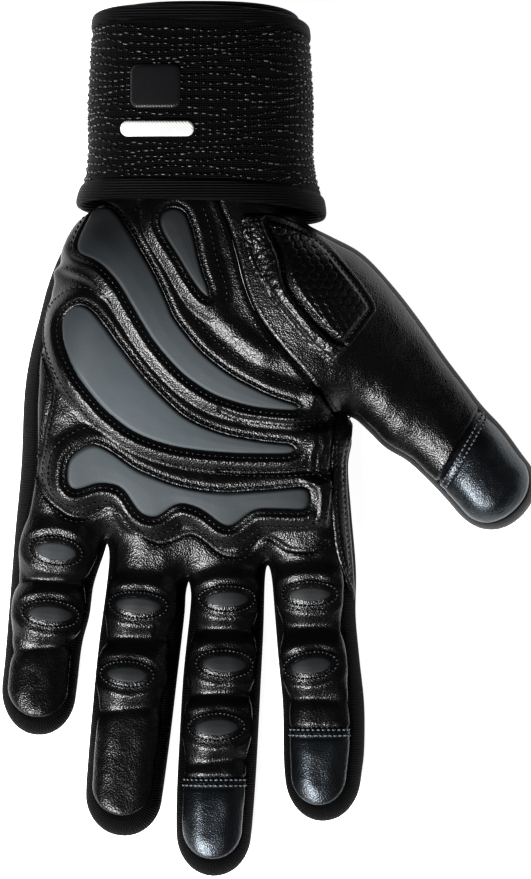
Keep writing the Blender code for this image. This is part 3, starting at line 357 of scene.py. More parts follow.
def thumb_tip_points(count=9):
    points = []
    for angle in np.linspace(0.0, math.pi, count):
        side = math.copysign(abs(math.cos(angle)) ** (2 / THUMB_TIP_POWER), -math.cos(angle))
        along = math.sin(angle) ** (2 / THUMB_TIP_POWER)
        points.append(THUMB_TIP_CENTRE + ACROSS * side * THUMB_TIP_HALF_WIDTH + AXIS * along * THUMB_TIP_LENGTH)
    return points


def outline_points():
    points = [(SIDES["palm_left"][0][1], BEYOND_WRIST)]
    points += swap(side_rows("little", "left")) + tip_points("little") + swap(side_rows("little", "right"))[::-1]
    for web, finger in (("little_ring", "ring"), ("ring_middle", "middle"), ("middle_index", "index")):
        points.append(WEBS[web])
        points += swap(side_rows(finger, "left")) + tip_points(finger) + swap(side_rows(finger, "right"))[::-1]
    points.append(CROTCH)
    rows = THUMB_ROWS[THUMB_FREE_ROWS + 1 :]
    points += [row[2:4] for row in rows[1:]] + thumb_tip_points() + [row[0:2] for row in reversed(rows)]
    points += [THUMB_ROWS[THUMB_FREE_ROWS][0:2], (THUMB_ROWS[THUMB_FREE_ROWS][0], BEYOND_WRIST)]
    return smooth_curve(points)


OUTLINE_LINE = outline_points()
OUTLINE = Field(OUTLINE_LINE, 3.0)
SEAM_LINE = smooth_curve(swap(THUMB_SEAM))
SEAM = Field(SEAM_LINE, 30.0, closed=False, cell=0.8)
print("outline length", round(line_length(OUTLINE_LINE)), "mm")

# %% [markdown]
# The skin's height over the table, its normals, and a point raised off it. The palm side and the
# back use the same rule, one above the widest level and one below it.

# %% Skin


def section_heights(points, thumb):
    """Top and widest level of the skin at each plan point."""
    top = read_table(HEIGHT_ROWS, 1, points[:, 1])
    middle = read_table(HEIGHT_ROWS, 2, points[:, 1])
    if thumb:
        along = (points - THUMB_ROOT) @ AXIS
        blend = smoothstep(SEAM.at(points) / THUMB_BLEND)
        top = top + (read_table(THUMB_HEIGHT_ROWS, 1, along) - top) * blend
        middle = middle + (read_table(THUMB_HEIGHT_ROWS, 2, along) - middle) * blend
    for x, y, radius, height in MOUNDS:
        away = np.hypot(points[:, 0] - x, points[:, 1] - y) / radius
        top = top + height * bell(away, 1.0)
    return top, middle


def skin_height(points, thumb=False, back=False, inside=None):
    points = np.asarray(points, dtype=float)
    if inside is None:
        inside = -OUTLINE.at(points)
    inside = np.maximum(inside, 0.0)
    top, middle = section_heights(points, thumb)
    if back:
        lift = LIFT * smoothstep((points[:, 1] - LIFT_FROM) / (LIFT_TO - LIFT_FROM))
        return lift + (middle - lift) * (1 - swell(inside / (REACH_SHARE * (middle - lift))))
    return middle + (top - middle) * swell(inside / (REACH_SHARE * (top - middle)))


def skin_normals(points, thumb=False, back=False, step=0.3):
    slopes = []
    for shift in ([step, 0.0], [0.0, step]):
        ahead, behind = (skin_height(points + way * np.array(shift), thumb, back) for way in (1, -1))
        slopes.append((ahead - behind) / (2 * step))
    normal = np.column_stack([-slopes[0], -slopes[1], np.ones(len(points))])
    normal = -normal if back else normal
    return normal / np.linalg.norm(normal, axis=1)[:, None]


def raise_off(points, lift, thumb=False, back=False):
    """Plan points as places on the skin, raised by a height along its normal."""
    points = np.asarray(points, dtype=float)
    base = np.column_stack([points, skin_height(points, thumb, back)])
    return base + skin_normals(points, thumb, back) * np.reshape(lift, (-1, 1))


def clouds(points, size, seed, octaves=2):
    """Soft random heights from about -1 to 1 at plan points, with lumps of a size in millimetres."""
    spots = np.column_stack([points / size, np.full(len(points), float(seed))])
    return np.array([noise.fractal(spot, 1.0, 2.0, octaves) for spot in spots])


# %% [markdown]
# Every piece is made from a grid of places in millimetres. Points that fall together, as at a pole or
# along a shared line, are merged, and faces point away from the glove.

# %% Mesh helpers


def grid_quads(rows, columns, start=0, wrap=False):
    """Faces between neighbouring rows of points, each row also closed on itself when it wraps."""
    index = start + np.arange(rows * columns).reshape(rows, columns)
    if wrap:
        index = np.hstack([index, index[:, :1]])
    a, b, c, d = index[:-1, :-1], index[:-1, 1:], index[1:, 1:], index[1:, :-1]
    return np.stack([a, b, c, d], axis=-1).reshape(-1, 4)


def grid_normals(grid):
    """Normals of a grid of places with rows and columns."""
    down = np.gradient(grid, axis=0)
    across = np.gradient(grid, axis=1)
    normal = np.cross(down, across)
    return normal / np.maximum(np.linalg.norm(normal, axis=2), 1e-9)[:, :, None]


def make_piece(name, points, faces, material, merge=0.004, up=None, uv=None):
    """Makes a mesh object from places in millimetres. Up is a direction that most faces look in."""
    points = np.asarray(points, dtype=float).reshape(-1, 3) * MM
    mesh = bpy.data.meshes.new(name)
    mesh.from_pydata(points.tolist(), [], np.asarray(faces).tolist())
    if uv is not None:
        layer = mesh.uv_layers.new(name="UVMap")
        corners = np.empty(len(mesh.loops), dtype=np.int32)
        mesh.loops.foreach_get("vertex_index", corners)
        layer.data.foreach_set("uv", (np.asarray(uv).reshape(-1, 2) * MM)[corners].ravel())
    shape = bmesh.new()
    shape.from_mesh(mesh)
    if merge:
        bmesh.ops.remove_doubles(shape, verts=shape.verts, dist=merge * MM)
        bmesh.ops.dissolve_degenerate(shape, edges=shape.edges, dist=merge * MM)
    if up is not None:
        facing = sum((face.normal * face.calc_area() for face in shape.faces), Vector())
        if facing.dot(Vector(up)) < 0:
            bmesh.ops.reverse_faces(shape, faces=shape.faces)
    shape.to_mesh(mesh)
    shape.free()
    mesh.shade_smooth()
    mesh.materials.append(material)
    piece = bpy.data.objects.new(name, mesh)
    bpy.context.scene.collection.objects.link(piece)
    triangles = sum(len(polygon.vertices) - 2 for polygon in mesh.polygons)
    print(name, triangles, "triangles")
    return piece


def lay_sheet(name, plan, lift, material, thumb=False, back=False, faces=None):
    """Makes a piece from a grid of plan points. Its lift off the skin is a function of the points."""
    flat = plan.reshape(-1, 2)
    faces = grid_quads(*plan.shape[:2]) if faces is None else faces
    places = raise_off(flat, lift(flat), thumb, back)
    return make_piece(name, places, faces, material, up=(0, 0, -1 if back else 1))


def settle(piece, nodes):
    """Puts a finished piece into the frame, in place of its CAD nodes."""
    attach(piece, "root")
    if nodes:
        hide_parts(*nodes)
    return piece


# %% [markdown]
# Materials start from what each surface is. One function adds a node with its settings and links, one
# turns a screen colour to linear, and one dresses a surface in its colours and its fine relief.

# %% Material helpers


def colour(code):
    """A linear colour from an sRGB hex value."""
    parts = [int(code[index : index + 2], 16) / 255 for index in (1, 3, 5)]
    linear = [part / 12.92 if part <= 0.04045 else ((part + 0.055) / 1.055) ** 2.4 for part in parts]
    return (*linear, 1.0)


def add_node(tree, kind, settings=None, inputs=None):
    """Adds a node. A setting is a property, and an input is a number, a colour or another node's output."""
    node = tree.nodes.new(kind)
    for name, value in (settings or {}).items():
        setattr(node, name, value)
    for name, value in (inputs or {}).items():
        if isinstance(value, bpy.types.NodeSocket):
            tree.links.new(value, node.inputs[name])
        else:
            node.inputs[name].default_value = value
    return node


def new_material(name, numbers):
    material = bpy.data.materials.new(name)
    material.use_nodes = True
    shader = material.node_tree.nodes["Principled BSDF"]
    for socket, value in numbers.items():
        shader.inputs[socket].default_value = value
    return material, material.node_tree, shader


def dress(tree, shader, factor, dark, light, bumps=()):
    """Mixes two colours by a factor and lays bumps over each other: height, depth in mm, strength."""
    inputs = {0: factor, 6: colour(dark), 7: colour(light)}
    mixed = add_node(tree, "ShaderNodeMix", {"data_type": "RGBA"}, inputs)
    tree.links.new(mixed.outputs[2], shader.inputs["Base Color"])
    for height, depth, strength in bumps:
        inputs = {"Height": height, "Distance": depth * MM, "Strength": strength}
        bump = add_node(tree, "ShaderNodeBump", None, inputs)
        if shader.inputs["Normal"].links:
            tree.links.new(shader.inputs["Normal"].links[0].from_socket, bump.inputs["Normal"])
        tree.links.new(bump.outputs["Normal"], shader.inputs["Normal"])


# %% [markdown]
# The palm is full-grain leather: near black, satin, with a fine pebble grain and soft creases. The
# grain cells are about 0.5 mm, a little coarser than life so that they show. The caps are grip
# leather, smoother and with a shine, and the inlays are a matt rubbery sheet with a very fine texture.

# %% Leather and inlay materials


def leather_material(name, colours, rough, grain, grain_depth, coat, shine=0.5, tint="#ffffff"):
    """Leather between two colours and two roughnesses, with grain cells of a size in millimetres."""
    numbers = {"IOR": 1.5, "Coat Weight": coat, "Coat Roughness": 0.34, "Specular IOR Level": shine}
    material, tree, shader = new_material(name, numbers | {"Specular Tint": colour(tint)})
    place = add_node(tree, "ShaderNodeTexCoord").outputs["Object"]
    broad = add_node(tree, "ShaderNodeTexNoise", None, {"Vector": place, "Scale": 70.0, "Detail": 3.0}).outputs["Fac"]
    fine = add_node(tree, "ShaderNodeTexNoise", None, {"Vector": place, "Scale": 900.0, "Detail": 3.0})
    inputs = {"Vector": place, "Scale": 1000.0 / grain, "Smoothness": 0.4, "Randomness": 1.0}
    cells = add_node(tree, "ShaderNodeTexVoronoi", {"feature": "SMOOTH_F1"}, inputs)
    inputs = {"Vector": place, "Scale": 150.0, "Detail": 4.0}
    creases = add_node(tree, "ShaderNodeTexNoise", {"noise_type": "RIDGED_MULTIFRACTAL"}, inputs)
    inputs = {"Value": broad, "To Min": rough[0], "To Max": rough[1]}
    satin = add_node(tree, "ShaderNodeMapRange", None, inputs)
    tree.links.new(satin.outputs["Result"], shader.inputs["Roughness"])
    bumps = [(creases.outputs["Fac"], 0.2, 0.15), (cells.outputs["Distance"], grain_depth, 0.8)]
    dress(tree, shader, broad, *colours, bumps + [(fine.outputs["Fac"], 0.06, 0.5)])
    return material


LEATHER = leather_material("full_grain_leather", ("#060607", "#0c0c0e"), (0.25, 0.36), 0.5, 0.12, 0.0)
GRIP = leather_material(
    "smooth_grip_leather", ("#040507", "#0a0d11"), (0.32, 0.4), 0.42, 0.11, 0.2, shine=0.85, tint="#dce8f2"
)
BACK = leather_material("back_of_hand_leather", ("#070709", "#0d0d10"), (0.42, 0.55), 0.8, 0.1, 0.0, shine=0.2)


def inlay_material():
    """Rubber sheet with a painted highlight: palest round a spot in the middle of the palm and darker away from it."""
    material, tree, shader = new_material("matt_rubber_sheet", {"IOR": 1.52, "Specular IOR Level": 0.4})
    place = add_node(tree, "ShaderNodeTexCoord").outputs["Object"]
    broad = add_node(tree, "ShaderNodeTexNoise", None, {"Vector": place, "Scale": 28.0, "Detail": 2.0})
    fine = add_node(tree, "ShaderNodeTexNoise", None, {"Vector": place, "Scale": 1600.0, "Detail": 2.0})
    # Painted highlight: the sheet is pale within 12 mm of this spot and fades to its dark colour by 58 mm.
    painted_highlight_spot = {0: place, 1: (-0.015, -0.003, 0.02)}
    measure = add_node(tree, "ShaderNodeVectorMath", {"operation": "DISTANCE"}, painted_highlight_spot)
    reach = {"Value": measure.outputs["Value"], "From Min": 0.012, "From Max": 0.058}
    away = add_node(tree, "ShaderNodeMapRange", None, reach)
    inputs = {"Value": broad.outputs["Fac"], "To Min": 0.5, "To Max": 0.65}
    matt = add_node(tree, "ShaderNodeMapRange", None, inputs)
    tree.links.new(matt.outputs["Result"], shader.inputs["Roughness"])
    dress(tree, shader, away.outputs["Result"], "#5c6367", "#1c2023", [(fine.outputs["Fac"], 0.05, 0.6)])
    return material


INLAY = inlay_material()

# %% [markdown]
# The side walls are ribbed stretch knit, which is dull and soft, the wrap is woven elastic, black yarn
# on a dull ground, and its edges are bound with ribbed tape. Ribs and yarns are 0.6 to 0.8 mm apart
# and follow the piece, so each pattern reads the piece's own UV map, which is in real millimetres.
# The thread is twisted from plies 0.5 mm apart, coarser than life so that they show.

# %% Textile materials
WAVE_SCALE = math.pi / (10 * MM)  # the scale at which a wave texture's ribs are 1 mm apart


def woven_material(name, rough, shine, ribs, crossing, low, colours, depth):
    """Ribs times the ribs that cross them, each an axis, a pitch in millimetres and a distortion."""
    material, tree, shader = new_material(name, {"Roughness": rough, "Specular IOR Level": shine})
    flat = add_node(tree, "ShaderNodeUVMap", {"uv_map": "UVMap"}).outputs["UV"]
    waves = []
    for axis, pitch, distortion in (ribs, crossing):
        inputs = {"Vector": flat, "Scale": WAVE_SCALE / pitch, "Distortion": distortion, "Detail": 1.0}
        waves.append(add_node(tree, "ShaderNodeTexWave", {"bands_direction": axis}, inputs).outputs["Fac"])
    over = add_node(tree, "ShaderNodeMapRange", None, {"Value": waves[1], "To Min": low, "To Max": 1.0})
    inputs = {0: waves[0], 1: over.outputs["Result"]}
    height = add_node(tree, "ShaderNodeMath", {"operation": "MULTIPLY"}, inputs).outputs[0]
    # The colour follows the weave's height: the grooves between the ribs are darker, which is painted shade.
    dress(tree, shader, height, *colours, [(height, depth, 0.9)])
    return material


KNIT = woven_material(
    "ribbed_stretch_knit", 0.75, 0.12, ("X", 0.75, 0.6), ("Y", 0.8, 1.0), 0.55, ("#020202", "#0d0d0f"), 0.3
)
WRAP = woven_material(
    "woven_elastic", 0.6, 0.15, ("X", 0.7, 1.5), ("Y", 0.6, 1.0), 0.0, ("#020203", "#0f0f12"), 0.3
)
BINDING = woven_material(
    "ribbed_binding_tape", 0.55, 0.15, ("Y", 0.8, 0.4), ("X", 0.6, 0.4), 0.7, ("#020203", "#0d0d0f"), 0.35
)


def thread_material(name, dark, light, rough, sheen):
    """Twisted thread, with a slant wave for its plies."""
    material, tree, shader = new_material(name, {"Roughness": rough, "Sheen Weight": sheen, "Specular IOR Level": 0.6})
    place = add_node(tree, "ShaderNodeTexCoord").outputs["Object"]
    inputs = {"Vector": place, "Scale": WAVE_SCALE / 0.5, "Detail": 1.0}
    plies = add_node(tree, "ShaderNodeTexWave", {"bands_direction": "DIAGONAL"}, inputs).outputs["Fac"]
    # The colour follows the plies' height: darker in the grooves between them, which is painted shade.
    dress(tree, shader, plies, dark, light, [(plies, 0.08, 0.6)])
    return material


def float_material():
    """Floats of shiny yarn: some lie so that they glint, which patches of lighter grey stand for."""
    material, tree, shader = new_material("glossy_float_yarn", {"Roughness": 0.27, "Specular IOR Level": 0.6})
    place = add_node(tree, "ShaderNodeTexCoord").outputs["Object"]
    inputs = {"Vector": place, "Scale": 420.0, "Detail": 1.0}
    patches = add_node(tree, "ShaderNodeTexNoise", None, inputs).outputs["Fac"]
    bright = add_node(tree, "ShaderNodeMapRange", None, {"Value": patches, "From Min": 0.52, "From Max": 0.74})
    dress(tree, shader, bright.outputs["Result"], "#0a0a0c", "#727276", [(patches, 0.1, 0.5)])
    return material


THREAD = thread_material("black_bonded_thread", "#0c0c0e", "#222225", 0.34, 0.0)
GREY_THREAD = thread_material("dark_grey_bonded_thread", "#33373b", "#868a8e", 0.34, 0.0)
FLOATS = float_material()
SATIN = thread_material("white_satin_embroidery", "#d9d9d6", "#f6f6f4", 0.4, 0.2)
TONAL = thread_material("black_satin_embroidery", "#0b0b0d", "#1c1c20", 0.38, 0.1)

# %% [markdown]
# The palm leather is one panel that runs up the front of all four fingers. Its grid is a comb: four
# rays of columns that share their edges in the palm and part at the webs. The edge of the leather
# stays a little inside the outline, so the knit walls show beyond it.

# %% Plan of the palm leather
ROW_STEP = 0.58
RAY_COLUMNS = 42
PALM_STOPS = [66.0, -41.3, -47.8, -52.6]  # y of the wrist's row and of the rows at the three webs
SEAM_GAP = 0.2  # half the gap that the thumb seam leaves between its two panels
TIP_TURN = 86.0  # degrees that a finger's rows go round its tip


def outline_x(finger, side, y):
    """x of a finger's side at some places along it, with the round of its tip."""
    centre, half_width, length = tip_ellipse(finger)
    reach = half_width * np.sqrt(1 - np.clip((centre[1] - y) / length, 0.0, 1.0) ** 2)
    round_end = centre[0] - reach if side == "left" else centre[0] + reach
    return np.where(y < centre[1], round_end, read_table(side_rows(finger, side), 1, y))


def plain_leather_x(finger, side, y, back):
    """x of the leather's edge, which stays inside the outline and has a round end."""
    spec = FINGERS[finger]
    at = np.maximum(y, spec["round_from"])
    inset = BACK_INSET if back else spec[f"{side}_inset"]
    if not back and (finger, side) == ("little", "left"):
        inset = read_table(PALM_INSET_ROWS, 1, at)
    return outline_x(finger, side, at) + (inset if side == "left" else -inset)


def leather_x(finger, side, y, back):
    spec = FINGERS[finger]
    edge = plain_leather_x(finger, side, y, back)
    other = plain_leather_x(finger, "right" if side == "left" else "left", y, back)
    share = np.clip((spec["round_from"] - y) / (spec["round_from"] - spec["leather_end"]), 0.0, 1.0)
    middle = (edge + other) / 2
    return middle + (edge - middle) * np.sqrt(1 - share**2)


# %% [markdown]
# On the real glove the palm and the fronts of the fingers are cut from one hide. Four sheets side by
# side would leave joints in the palm, and a sheet with cut-outs would have ragged edges. So four rays
# share their edge lines down to each web, and turn off there in a quarter round.

# %% Rays of the comb


def ray_web(finger, side):
    order = list(FINGERS)
    place = order.index(finger)
    if side == "left" and place > 0:
        return f"{order[place - 1]}_{finger}"
    if side == "right" and place < len(order) - 1:
        return f"{finger}_{order[place + 1]}"
    return None


def ray_edge(finger, side, y, back=False):
    """x of a ray's edge: a line inside the palm, a round at the web, and the leather's own edge."""
    edge = leather_x(finger, side, y, back)
    web = ray_web(finger, side)
    if web:
        web_x, web_y = WEBS[web]
        top = web_y + WEB_INSET
        line = web_x + (RAY_TOPS[web] - web_x) * (y - top) / (PALM_STOPS[0] - top)
        turn = np.sqrt(1 - (1 - np.clip((top - y) / WEB_ROUND, 0.0, 1.0)) ** 2)
        return np.where(y >= top - 1e-6, line, web_x + (edge - web_x) * turn)
    if (finger, side) == ("index", "right"):
        return np.where(y >= CROTCH_ROW - 1e-6, read_table(THUMB_SEAM, 1, y) - SEAM_GAP, edge)
    return edge


def finger_rows(finger, step):
    """y of a ray's rows: even in the palm, and closer as the tip rounds."""
    rows = [np.array([PALM_STOPS[0]])]
    round_from = FINGERS[finger]["round_from"]
    for start, end in zip(PALM_STOPS, PALM_STOPS[1:] + [round_from]):
        rows.append(np.linspace(start, end, max(2, int((start - end) / step) + 1))[1:])
    length = round_from - FINGERS[finger]["leather_end"]
    turns = np.linspace(0.0, math.radians(TIP_TURN), max(6, int(length / step) + 4))[1:]
    return np.concatenate(rows + [round_from - length * np.sin(turns)])


def ray_plan(finger, rows, columns, back=False):
    left, right = (ray_edge(finger, side, rows, back) for side in ("left", "right"))
    x = left[:, None] + (right - left)[:, None] * np.linspace(0.0, 1.0, columns)[None, :]
    return np.stack([x, np.repeat(rows[:, None], columns, axis=1)], axis=2)


def comb(step, columns, back=False):
    """Plan points and faces of a panel with all four rays. In front, a ray ends where its cap begins."""
    points, faces, start = [], [], 0
    for finger in FINGERS:
        rows = finger_rows(finger, step)
        if finger in CAP_SEAMS and not back:
            rows = np.append(rows[rows > CAP_SEAMS[finger] + 0.1], CAP_SEAMS[finger])
        points.append(ray_plan(finger, rows, columns, back).reshape(-1, 2))
        faces.append(grid_quads(len(rows), columns, start))
        start += len(points[-1])
    return np.vstack(points), np.vstack(faces)


# %% [markdown]
# The free edge of the panel is kept as one line, because the relief rolls down beside it, the knit
# walls start under it and the stitches stop short of it.

# %% Edge of the palm leather


def palm_boundary():
    """The free edge of the palm leather, from the left of the wrist to the crotch of the thumb."""
    line = []
    for finger in FINGERS:
        rows = finger_rows(finger, 0.5)
        for side in ("left", "right"):
            web = ray_web(finger, side)
            top = WEBS[web][1] + WEB_INSET if web else PALM_STOPS[0] + 1
            if (finger, side) == ("index", "right"):
                top = CROTCH_ROW
            free = rows[rows <= top + 1e-6]
            points = np.column_stack([ray_edge(finger, side, free), free])
            line.append(points if side == "left" else points[::-1])
    return np.vstack(line)


FRONT_EDGE = palm_boundary()
SEAM_EDGE = np.column_stack([SEAM_LINE[::-1, 0] - SEAM_GAP, SEAM_LINE[::-1, 1]])
PALM_EDGE = Field(np.vstack([FRONT_EDGE, SEAM_EDGE, [[3.2, PANEL_END], [-26.6, PANEL_END]]]), 4.0)
print("palm leather edge", round(line_length(FRONT_EDGE)), "mm")

# %% [markdown]
# The relief of the palm. Round each inlay the leather first dips into a groove, carries a line of
# stitches, and rises over foam to a round ridge. The stitched seams press narrow channels into it,
# and the joints of the fingers fold it.

# %% Outlines of the inlays
PALM_PROFILE = [  # distance outside the inlay, then the leather's height
    (-3.0, 0.9), (0.0, 0.9), (0.4, 1.6), (1.1, 1.5), (1.6, 2.1), (2.3, 2.45), (3.1, 2.25), (4.1, 1.75), (5.1, 1.15),
    (6.0, 0.55), (7.2, 0.0), (60.0, 0.0),
]
FINGER_PROFILE = [
    (-3.0, 0.9), (0.3, 0.9), (1.3, 0.7), (2.4, 0.75), (3.8, 1.1), (5.4, 0.75), (8.0, 0.05), (9.0, 0.0), (60.0, 0.0),
]


def oval(x, y, length, height, tilt, count=64):
    turn = math.radians(tilt)
    angles = np.linspace(math.pi, 3 * math.pi, count + 1)[:-1]
    along, across = np.cos(angles) * (length / 2), np.sin(angles) * (height / 2)
    return np.column_stack(
        [x + along * math.cos(turn) - across * math.sin(turn), y + along * math.sin(turn) + across * math.cos(turn)]
    )


def rounded(ring, reach=3):
    """A closed line in half millimetre steps, its corners rounded by averaging along it."""
    line = np.vstack([ring, ring[:1]])
    line = resample(line, int(line_length(line) / 0.5))[:-1]
    return sum(np.roll(line, k, axis=0) for k in range(-reach, reach + 1)) / (2 * reach + 1)


INLAY_RINGS, INLAY_HALF = {}, {}
for inlay_name, spec in PALM_INLAYS.items():
    first, last = spec["ends"]
    side_a, side_b = (smooth_curve([first] + spec[side] + [last], 8) for side in ("side_a", "side_b"))
    ring = rounded(np.vstack([side_a[:-1], side_b[:0:-1]]))
    INLAY_RINGS[inlay_name] = ring
    INLAY_HALF[inlay_name] = int(np.argmin(np.linalg.norm(ring - side_a[-1], axis=1)))
for inlay_name, *oval_numbers in FINGER_INLAYS:
    INLAY_RINGS[inlay_name] = oval(*oval_numbers)
    INLAY_HALF[inlay_name] = len(INLAY_RINGS[inlay_name]) // 2
INLAY_FIELDS = {name: Field(ring, 10.0, cell=0.3) for name, ring in INLAY_RINGS.items()}
SEAM_LINES = [smooth_curve(line) for line in [SCALLOP_SEAM, LEFT_SEAM] + VALLEY_SEAMS]
FOLD_FIELDS = [(height, width, Field(smooth_curve(line), 9.0, closed=False)) for height, width, line in FOLDS]
SEAM_FIELDS = [Field(line, 4.0, closed=False) for line in SEAM_LINES]
print(len(INLAY_RINGS), "inlays,", len(SEAM_FIELDS), "stitched seams and", len(FOLD_FIELDS), "folds")

# %% [markdown]
# Leather over foam has ridges, channels, folds and wrinkles at once. They could be sculpted by hand or
# simulated as cloth, but sums of simple heights are exact and give the same result each run: ridges
# by the distance to each inlay, channels by the distance to each seam, bulges and folds by each
# finger's pads, and noise that makes it uneven.

# %% Relief of the palm leather
LEATHER_RISE = 0.9
SEAM_DEPTH = 0.65
SEAM_WIDTH = 0.75
LOW_SIDE = np.array([-0.6, -0.8])  # the ridges stand higher on this side of their inlays
END_FOLDS = [(-36.0, -21.9), (-21.3, -7.2), (-6.6, 5.0)]  # beyond the pads' right ends, between the seams


def rolled_edge(inside):
    """Height of the leather over the skin, which rolls down under itself at its edge."""
    return LEATHER_RISE * (1.35 * swell(inside / 1.5) - 0.35)


def pad_relief(points):
    """Height of the ridges over the skin, from the distance to each inlay."""
    height = np.zeros(len(points))
    for name, field in INLAY_FIELDS.items():
        away = field.at(points)
        ridge = read_table(PALM_PROFILE if name in PALM_INLAYS else FINGER_PROFILE, 1, away)
        if name in PALM_INLAYS:
            lean = field.at(points + LOW_SIDE * 0.5) - field.at(points - LOW_SIDE * 0.5)
            ridge *= 1 - 0.3 * (1 - np.clip(lean, -1, 1)) * smoothstep(away / 1.5)
        height = np.maximum(height, ridge)
    return height


def seam_relief(points):
    """Channels along the stitched seams."""
    depth = np.zeros(len(points))
    for field in SEAM_FIELDS:
        depth = np.maximum(depth, bell(field.at(points), SEAM_WIDTH))
    return -SEAM_DEPTH * depth


def finger_relief(points):
    """Soft bulges over each finger pad and folds at the joints between them."""
    height = np.zeros(len(points))
    by_finger = {}
    for name, x, y, *_ in FINGER_INLAYS:
        u, v = points[:, 0] - x, points[:, 1] - y
        v -= 0.03 * u**2
        height += 1.1 * np.exp(-((u / 9.5) ** 4) - (v / 7.0) ** 4)
        by_finger.setdefault(name.split("_")[0], []).append((x, y))
    for finger, pads in by_finger.items():
        left, right = (side_rows(finger, side)[-2][1] for side in ("left", "right"))
        inside = (points[:, 0] > left - 7) & (points[:, 0] < right + 7)
        places = [(first[1] + second[1]) / 2 for first, second in zip(pads, pads[1:])] + [pads[-1][1] - 11.0]
        for y in places:
            # A broad dip with a sharp crease in it, bowed round the finger.
            away = points[:, 1] - y - 1.1 * np.cos((points[:, 0] - pads[0][0]) / 5.0)
            height -= inside * (0.6 * bell(away, 2.2) + 0.12 * bell(away, 0.7))
    return height


def palm_relief(points):
    """The whole relief: thickness, rolled edge, pads, seams, folds and soft unevenness."""
    x, y = points.T
    # Beyond the pads' right ends the leather is gathered, and the ridges run out into folds.
    ends = smoothstep((x - 29.0) / 5.0) * smoothstep((38.4 - x) / 1.4)
    ends = ends * smoothstep((y + 39.0) / 4.0) * smoothstep((7.0 - y) / 5.0)
    ends *= smoothstep(np.min([INLAY_FIELDS[name].at(points) for name in PALM_INLAYS], axis=0) / 2.5)
    pads = pad_relief(points) * (1 - 0.8 * ends * smoothstep((x - 31.0) / 4.0))
    low = bell(pads, 1.2)
    folds = sum(height * bell(field.at(points), width) for height, width, field in FOLD_FIELDS)
    slopes = sum(0.2 * np.maximum(y - a, 0.0) * smoothstep((b - y) / 3.0) * (y > a) for a, b in END_FOLDS)
    creases = 0.24 * np.sin(x * 2.9 + 2.8 * clouds(points, 5.0, 3))
    creases = creases + 0.07 * np.sin(x * 8.0 + 3.0 * clouds(points, 4.0, 6))
    gathers = ends * (0.22 * np.maximum(x - 30.0, 0.0) + slopes + creases)
    lumps = 0.18 * clouds(points, 9.0, 1) + 0.07 * clouds(points, 2.6, 2)
    lumps = lumps * (0.35 + 0.65 * low) + folds * low + gathers
    return rolled_edge(-PALM_EDGE.at(points)) + pads + seam_relief(points) + finger_relief(points) + lumps


# %% [markdown]
# Now the comb is laid on the skin, each point raised along the skin's normal by its relief. A
# displacement modifier could do the same, but plain points need no finer grid than the relief does.

# %% Palm leather


def panel_relief(points):
    """The relief of the palm leather, which also turns down at the seam where a cap begins."""
    depth = np.zeros(len(points))
    for finger, y in CAP_SEAMS.items():
        left, right = (ray_edge(finger, side, np.array([y]))[0] for side in ("left", "right"))
        near = (points[:, 0] > left - 1) & (points[:, 0] < right + 1)
        depth += near * bell(points[:, 1] - y, 0.6)
    return palm_relief(points) - 0.7 * depth


palm_plan, palm_faces = comb(ROW_STEP, RAY_COLUMNS)
palm = lay_sheet("palm_leather", palm_plan, panel_relief, LEATHER, faces=palm_faces)

# %% [markdown]
# Each inlay is a thin sheet that lies in its recess, soft at the edge and a little crowned. Its grid
# runs between its two sides, so its outline stays clean.

# %% Inlays


def ladder(side_a, side_b, count, across):
    """A grid of plan points between two sides that share their ends."""
    a, b = resample(side_a, count), resample(side_b, count)
    return a[:, None, :] + (b - a)[:, None, :] * np.linspace(0.0, 1.0, across)[None, :, None]


def make_inlay(name, side_a, side_b, across=20):
    def lift(points):
        inside = np.maximum(-INLAY_FIELDS[name].at(points), 0.0)
        rise = 1.3 if name in PALM_INLAYS else 0.6
        height = LEATHER_RISE + 0.5 + rise * swell(inside / 0.9) + 0.3 * (1 - np.exp(-inside / 3.5))
        return height + (0.05 * clouds(points, 7.0, 5) + finger_relief(points))

    plan = ladder(side_a, side_b, int(line_length(side_b) / 0.55), across)
    return lay_sheet(f"inlay_{name}_sheet", plan, lift, INLAY)


inlays = {}
for inlay_name, ring in INLAY_RINGS.items():
    half = INLAY_HALF[inlay_name]
    inlays[inlay_name] = make_inlay(inlay_name, ring[: half + 1], np.vstack([ring[:1], ring[: half - 1 : -1]]))

# %% [markdown]
# The tips of the index and middle fingers have caps of smooth grip leather. Each carries on from the
# palm leather past a double-stitched seam, and is puffed up a little by the fingertip inside it.

# %% Fingertip caps


def cap_shape(away, inside, depth, puff):
    """The double seam of a cap and the puff beyond it, by the distance past the seam."""
    seam = -depth * bell(away, 0.6) - 0.25 * bell(away - 2.9, 0.6)
    return rolled_edge(inside) + seam + puff * smoothstep(away / 8.0) * smoothstep(inside / 6.0)


def cap_relief(points, away):
    return cap_shape(away, -PALM_EDGE.at(points), 0.7, 0.9) + 0.16 * clouds(points, 7.0, 8)


def make_finger_cap(finger):
    seam = CAP_SEAMS[finger]
    rows = finger_rows(finger, 0.5)
    plan = ray_plan(finger, np.concatenate([[seam], rows[rows < seam - 0.1]]), 40)
    return lay_sheet(f"{finger}_cap_leather", plan, lambda flat: cap_relief(flat, seam - flat[:, 1]), GRIP)


caps = {finger: make_finger_cap(finger) for finger in CAP_SEAMS}

# %% [markdown]
# The thumb is its own panel, set in at the keystone seam. Its rows fan out from that seam to the tip,
# and its last part is the third cap.

# %% Thumb
TIP_BASE = [THUMB_TIP_CENTRE + ACROSS * THUMB_TIP_HALF_WIDTH, THUMB_TIP_CENTRE - ACROSS * THUMB_TIP_HALF_WIDTH]
THUMB_TABLE = [(index, *row) for index, row in enumerate(THUMB_ROWS + [(*TIP_BASE[0], *TIP_BASE[1], 0.0)])]
LAST_ROW = len(THUMB_TABLE) - 1


